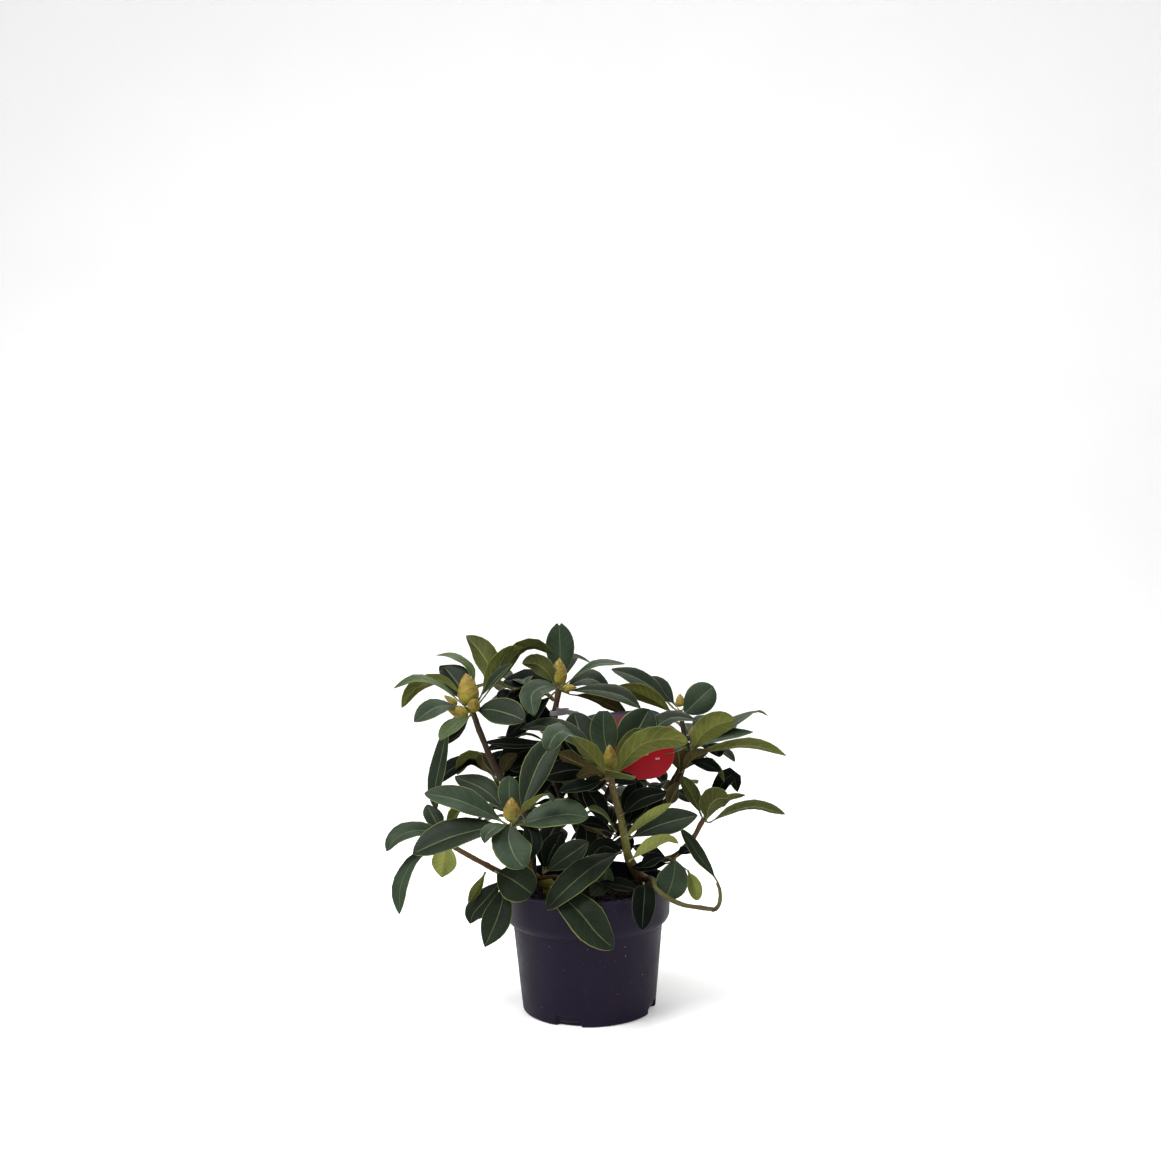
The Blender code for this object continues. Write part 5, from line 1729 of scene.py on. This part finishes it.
BARKS = {
    "dark": Bark("bark dark", (0.016, 0.009, 0.006), (0.024, 0.014, 0.008), (0.050, 0.028, 0.012)),
    "trunk": Bark("bark trunk", (0.040, 0.020, 0.013), (0.036, 0.021, 0.012), (0.048, 0.032, 0.013)),
    "green": Bark("bark green", (0.230, 0.210, 0.040), (0.110, 0.085, 0.022), (0.090, 0.060, 0.018)),
    "ruddy": Bark("bark ruddy", (0.190, 0.080, 0.055), (0.150, 0.160, 0.034), (0.075, 0.040, 0.016)),
    "bent": Bark("bark bent", (0.050, 0.022, 0.015), (0.082, 0.084, 0.022), (0.070, 0.052, 0.018)),
    "brown": Bark("bark brown", (0.085, 0.038, 0.018), (0.075, 0.036, 0.016), (0.060, 0.034, 0.014)),
}

BUDS = (
    (Bud("upper_left", (-128.6, -3.8, 348.0), (-132.2, -6.0, 384.6), 24.5, 20), ("bud_upper_left",)),
    (Bud("top", (-28.1, 34.2, 364.5), (-27.5, 33.0, 395.5), 18.5, 18), ("bud_top",)),
    (Bud("centre", (28.1, -45.8, 281.0), (27.3, -47.2, 308.4), 15.5, 17), ("bud_centre",)),
    (Bud("front_left", (-80.0, -86.8, 233.0), (-80.0, -88.2, 259.5), 18.5, 18), ("bud_front_left",)),
    (Bud("upper_right", (112.0, 50.0, 334.5), (111.8, 50.0, 350.0), 10.2, 13), ("bud_upper_right",)),
)

SIDE_BUDS = (
    ("upper_left", ((2, 0, 8), (3, 11, 26)), 14.0, 14),
    ("upper_left", ((-4, -6, 12), (-27, 1, 20)), 14.0, 14),
    ("upper_left", ((-16, 6, 10), (-31, 16, 12)), 7.0, 10),
    ("top", ((4, -1, 8), (20, 0, 14)), 8.0, 10),
)

BUD_SKINS = (
    PlainSkin("bud scale green", (0.165, 0.158, 0.018), 0.42, 0.3),
    PlainSkin("bud scale tan", (0.190, 0.102, 0.018), 0.5, 0.3),
    PlainSkin("bud scale edge", (0.250, 0.190, 0.055), 0.55, 0.2),
)

SPECK_SKINS = (
    PlainSkin("speck pale", (0.23, 0.20, 0.17), 0.8),
    PlainSkin("speck brown", (0.075, 0.045, 0.03), 0.8),
)

STALK_SKIN = PlainSkin("leaf stalk", (0.115, 0.120, 0.036), 0.5)
STRAP_FILM = Film("strap film", (0.17, 0.16, 0.17), 0.25)

LABEL_FILMS = (
    Film("tag field", (0.300, 0.004, 0.010)),
    Film("tag rose band", (0.110, 0.034, 0.052)),
    Film("tag blue edge", (0.018, 0.034, 0.055)),
    Film("tag pale bar", (0.480, 0.300, 0.300)),
    Film("tag back", (0.520, 0.500, 0.500)),
)

BACK_BUDS = ("back_upper", "back_left", "back", "back_right", "low_back_left", "low_back")


@dataclass
class Buds:
    """All the buds of the plant, those of the CAD and the smaller ones beside them."""

    finishes: list[bpy.types.Material]

    def build(self) -> None:
        """Builds each bud that stands for a CAD node, then the others as one piece."""
        for bud, nodes in BUDS:
            pile = Pile()
            bud.add(pile)
            settle(pile.build(f"bud_scales_{bud.name}", self.finishes), "bud_scale", *nodes)
        pile = Pile()
        for whorl, (foot, tip), width, scales in SIDE_BUDS:
            gaze = Gaze(HUB[whorl])
            Bud("side", tuple(gaze.point(foot)), tuple(gaze.point(tip)), width, scales).add(pile)
        for name in BACK_BUDS:
            x, y, z = HUB[name]
            Bud("back", (x, y, z - 2.0), (x, y + 2.0, z + 18.0), 12.0, 12).add(pile)
        settle(pile.build("bud_scales_small", self.finishes), "bud_scale")


@dataclass(frozen=True)
class Studio:
    """The pale sweep, the soft lamps and the camera at the photograph's viewpoint."""

    floor_glow: float = 0.16
    sky_light: float = 0.48

    def build(self) -> None:
        """Puts up the whole studio."""
        self.sweep()
        self.lamps()
        self.sky()
        self.camera()

    def sweep(self) -> None:
        """A floor that curves up behind: flat, then a quarter circle, then upright."""
        bend = np.linspace(0.1, 1.0, 14) * math.pi / 2
        reach = np.concatenate([np.linspace(-3000.0, 1500.0, 24), 1500.0 + 900.0 * np.sin(bend)])
        rise = np.concatenate([np.zeros(24), 900.0 - 900.0 * np.cos(bend)])
        reach, rise = np.append(reach, 2400.0), np.append(rise, 4200.0)
        across = np.linspace(-4200.0, 4200.0, 30)
        y, x = np.meshgrid(reach, across, indexing="ij")
        z = np.broadcast_to(rise[:, None], x.shape)
        pile = Pile()
        quads = grid_faces(len(reach), len(across))
        pile.add(np.stack([x, y, z], axis=-1).reshape(-1, 3), [(quads, np.array(0))])
        paper = Graph("studio paper", 0.9, 0.1)
        tint = paper.reach(paper.noise(3.0, 2.0), 0.3, 0.7)
        paper.join(paper.blend(tint, (0.93, 0.93, 0.93), (0.95, 0.95, 0.95)), "Base Color")
        paper.shader.inputs["Emission Color"].default_value = (1.0, 1.0, 1.0, 1.0)
        paper.shader.inputs["Emission Strength"].default_value = self.floor_glow
        pile.build("studio_sweep", [paper.material])

    def lamps(self) -> None:
        """Three large soft lamps, aimed at the middle of the plant."""
        self.lamp("key", (-800.0, -700.0, 1500.0), 700.0, 34.0)
        self.lamp("fill", (1300.0, -1300.0, 900.0), 1100.0, 6.0)
        self.lamp("over", (200.0, 600.0, 1700.0), 1200.0, 25.0)

    def lamp(self, name: str, place: Spot, size: float, power: float) -> None:
        """One square lamp, aimed at the middle of the plant.

        Args:
            name: Its name.
            place: Where it stands, in millimetres.
            size: Its side, in millimetres.
            power: Its power in watts.
        """
        light = bpy.data.lights.new(name, "AREA")
        light.shape = "SQUARE"
        light.size = size * MM
        light.energy = power
        made = bpy.data.objects.new(name, light)
        made.location = np.array(place) * MM
        away = np.array(place) - (0.0, 0.0, AIM_HEIGHT)
        level = math.hypot(away[0], away[1])
        made.rotation_euler = (math.atan2(level, away[2]), 0.0, math.atan2(away[0], -away[1]))
        bpy.context.scene.collection.objects.link(made)

    def sky(self) -> None:
        """A plain white world."""
        world = bpy.data.worlds.new("studio")
        world.use_nodes = True
        background = world.node_tree.nodes["Background"]
        background.inputs["Color"].default_value = (1.0, 1.0, 1.0, 1.0)
        background.inputs["Strength"].default_value = self.sky_light
        bpy.context.scene.world = world
        bpy.context.scene.view_settings.view_transform = "Standard"

    def camera(self) -> None:
        """The camera: looking along +Y, tipped down by the pitch and turned by the roll."""
        lens = bpy.data.cameras.new("view")
        lens.lens = LENS_MM
        lens.sensor_width = SENSOR_MM
        lens.clip_start, lens.clip_end = 0.05, 50.0
        made = bpy.data.objects.new("view", lens)
        tip = Matrix.Rotation(math.pi / 2 - EYE_PITCH, 4, "X")
        turn = Matrix.Rotation(-EYE_ROLL, 4, "Z")
        made.matrix_world = Matrix.Translation(EYE * MM) @ tip @ turn
        bpy.context.scene.collection.objects.link(made)
        bpy.context.scene.camera = made


def main() -> None:
    """Builds the plant, its pot, its tag and the studio in order."""
    logging.basicConfig(level=logging.INFO, format="%(message)s")
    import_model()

    foliage = Foliage([skin.make() for skin in LEAF_SKINS], STALK_SKIN.make())
    for first_seed, group in ((SHOWN_SEED, WHORLS), (BACK_SEED, RINGS)):
        for seed, whorl in enumerate(group, first_seed):
            foliage.grow(whorl, seed)
    foliage.finish()

    for tone, group in LIMBS.items():
        bark = BARKS[tone].make()
        for limb in group:
            limb.build(bark)

    Buds([skin.make() for skin in BUD_SKINS]).build()

    pot = Pot()
    pot.build(PotPlastic().make())
    Soil().build(Peat().make())
    Crumbs().build([skin.make() for skin in SPECK_SKINS], pot)

    label = Label()
    label.build_card([film.make() for film in LABEL_FILMS])
    label.build_strap(STRAP_FILM.make())

    Studio().build()


if __name__ == "__main__":
    main()
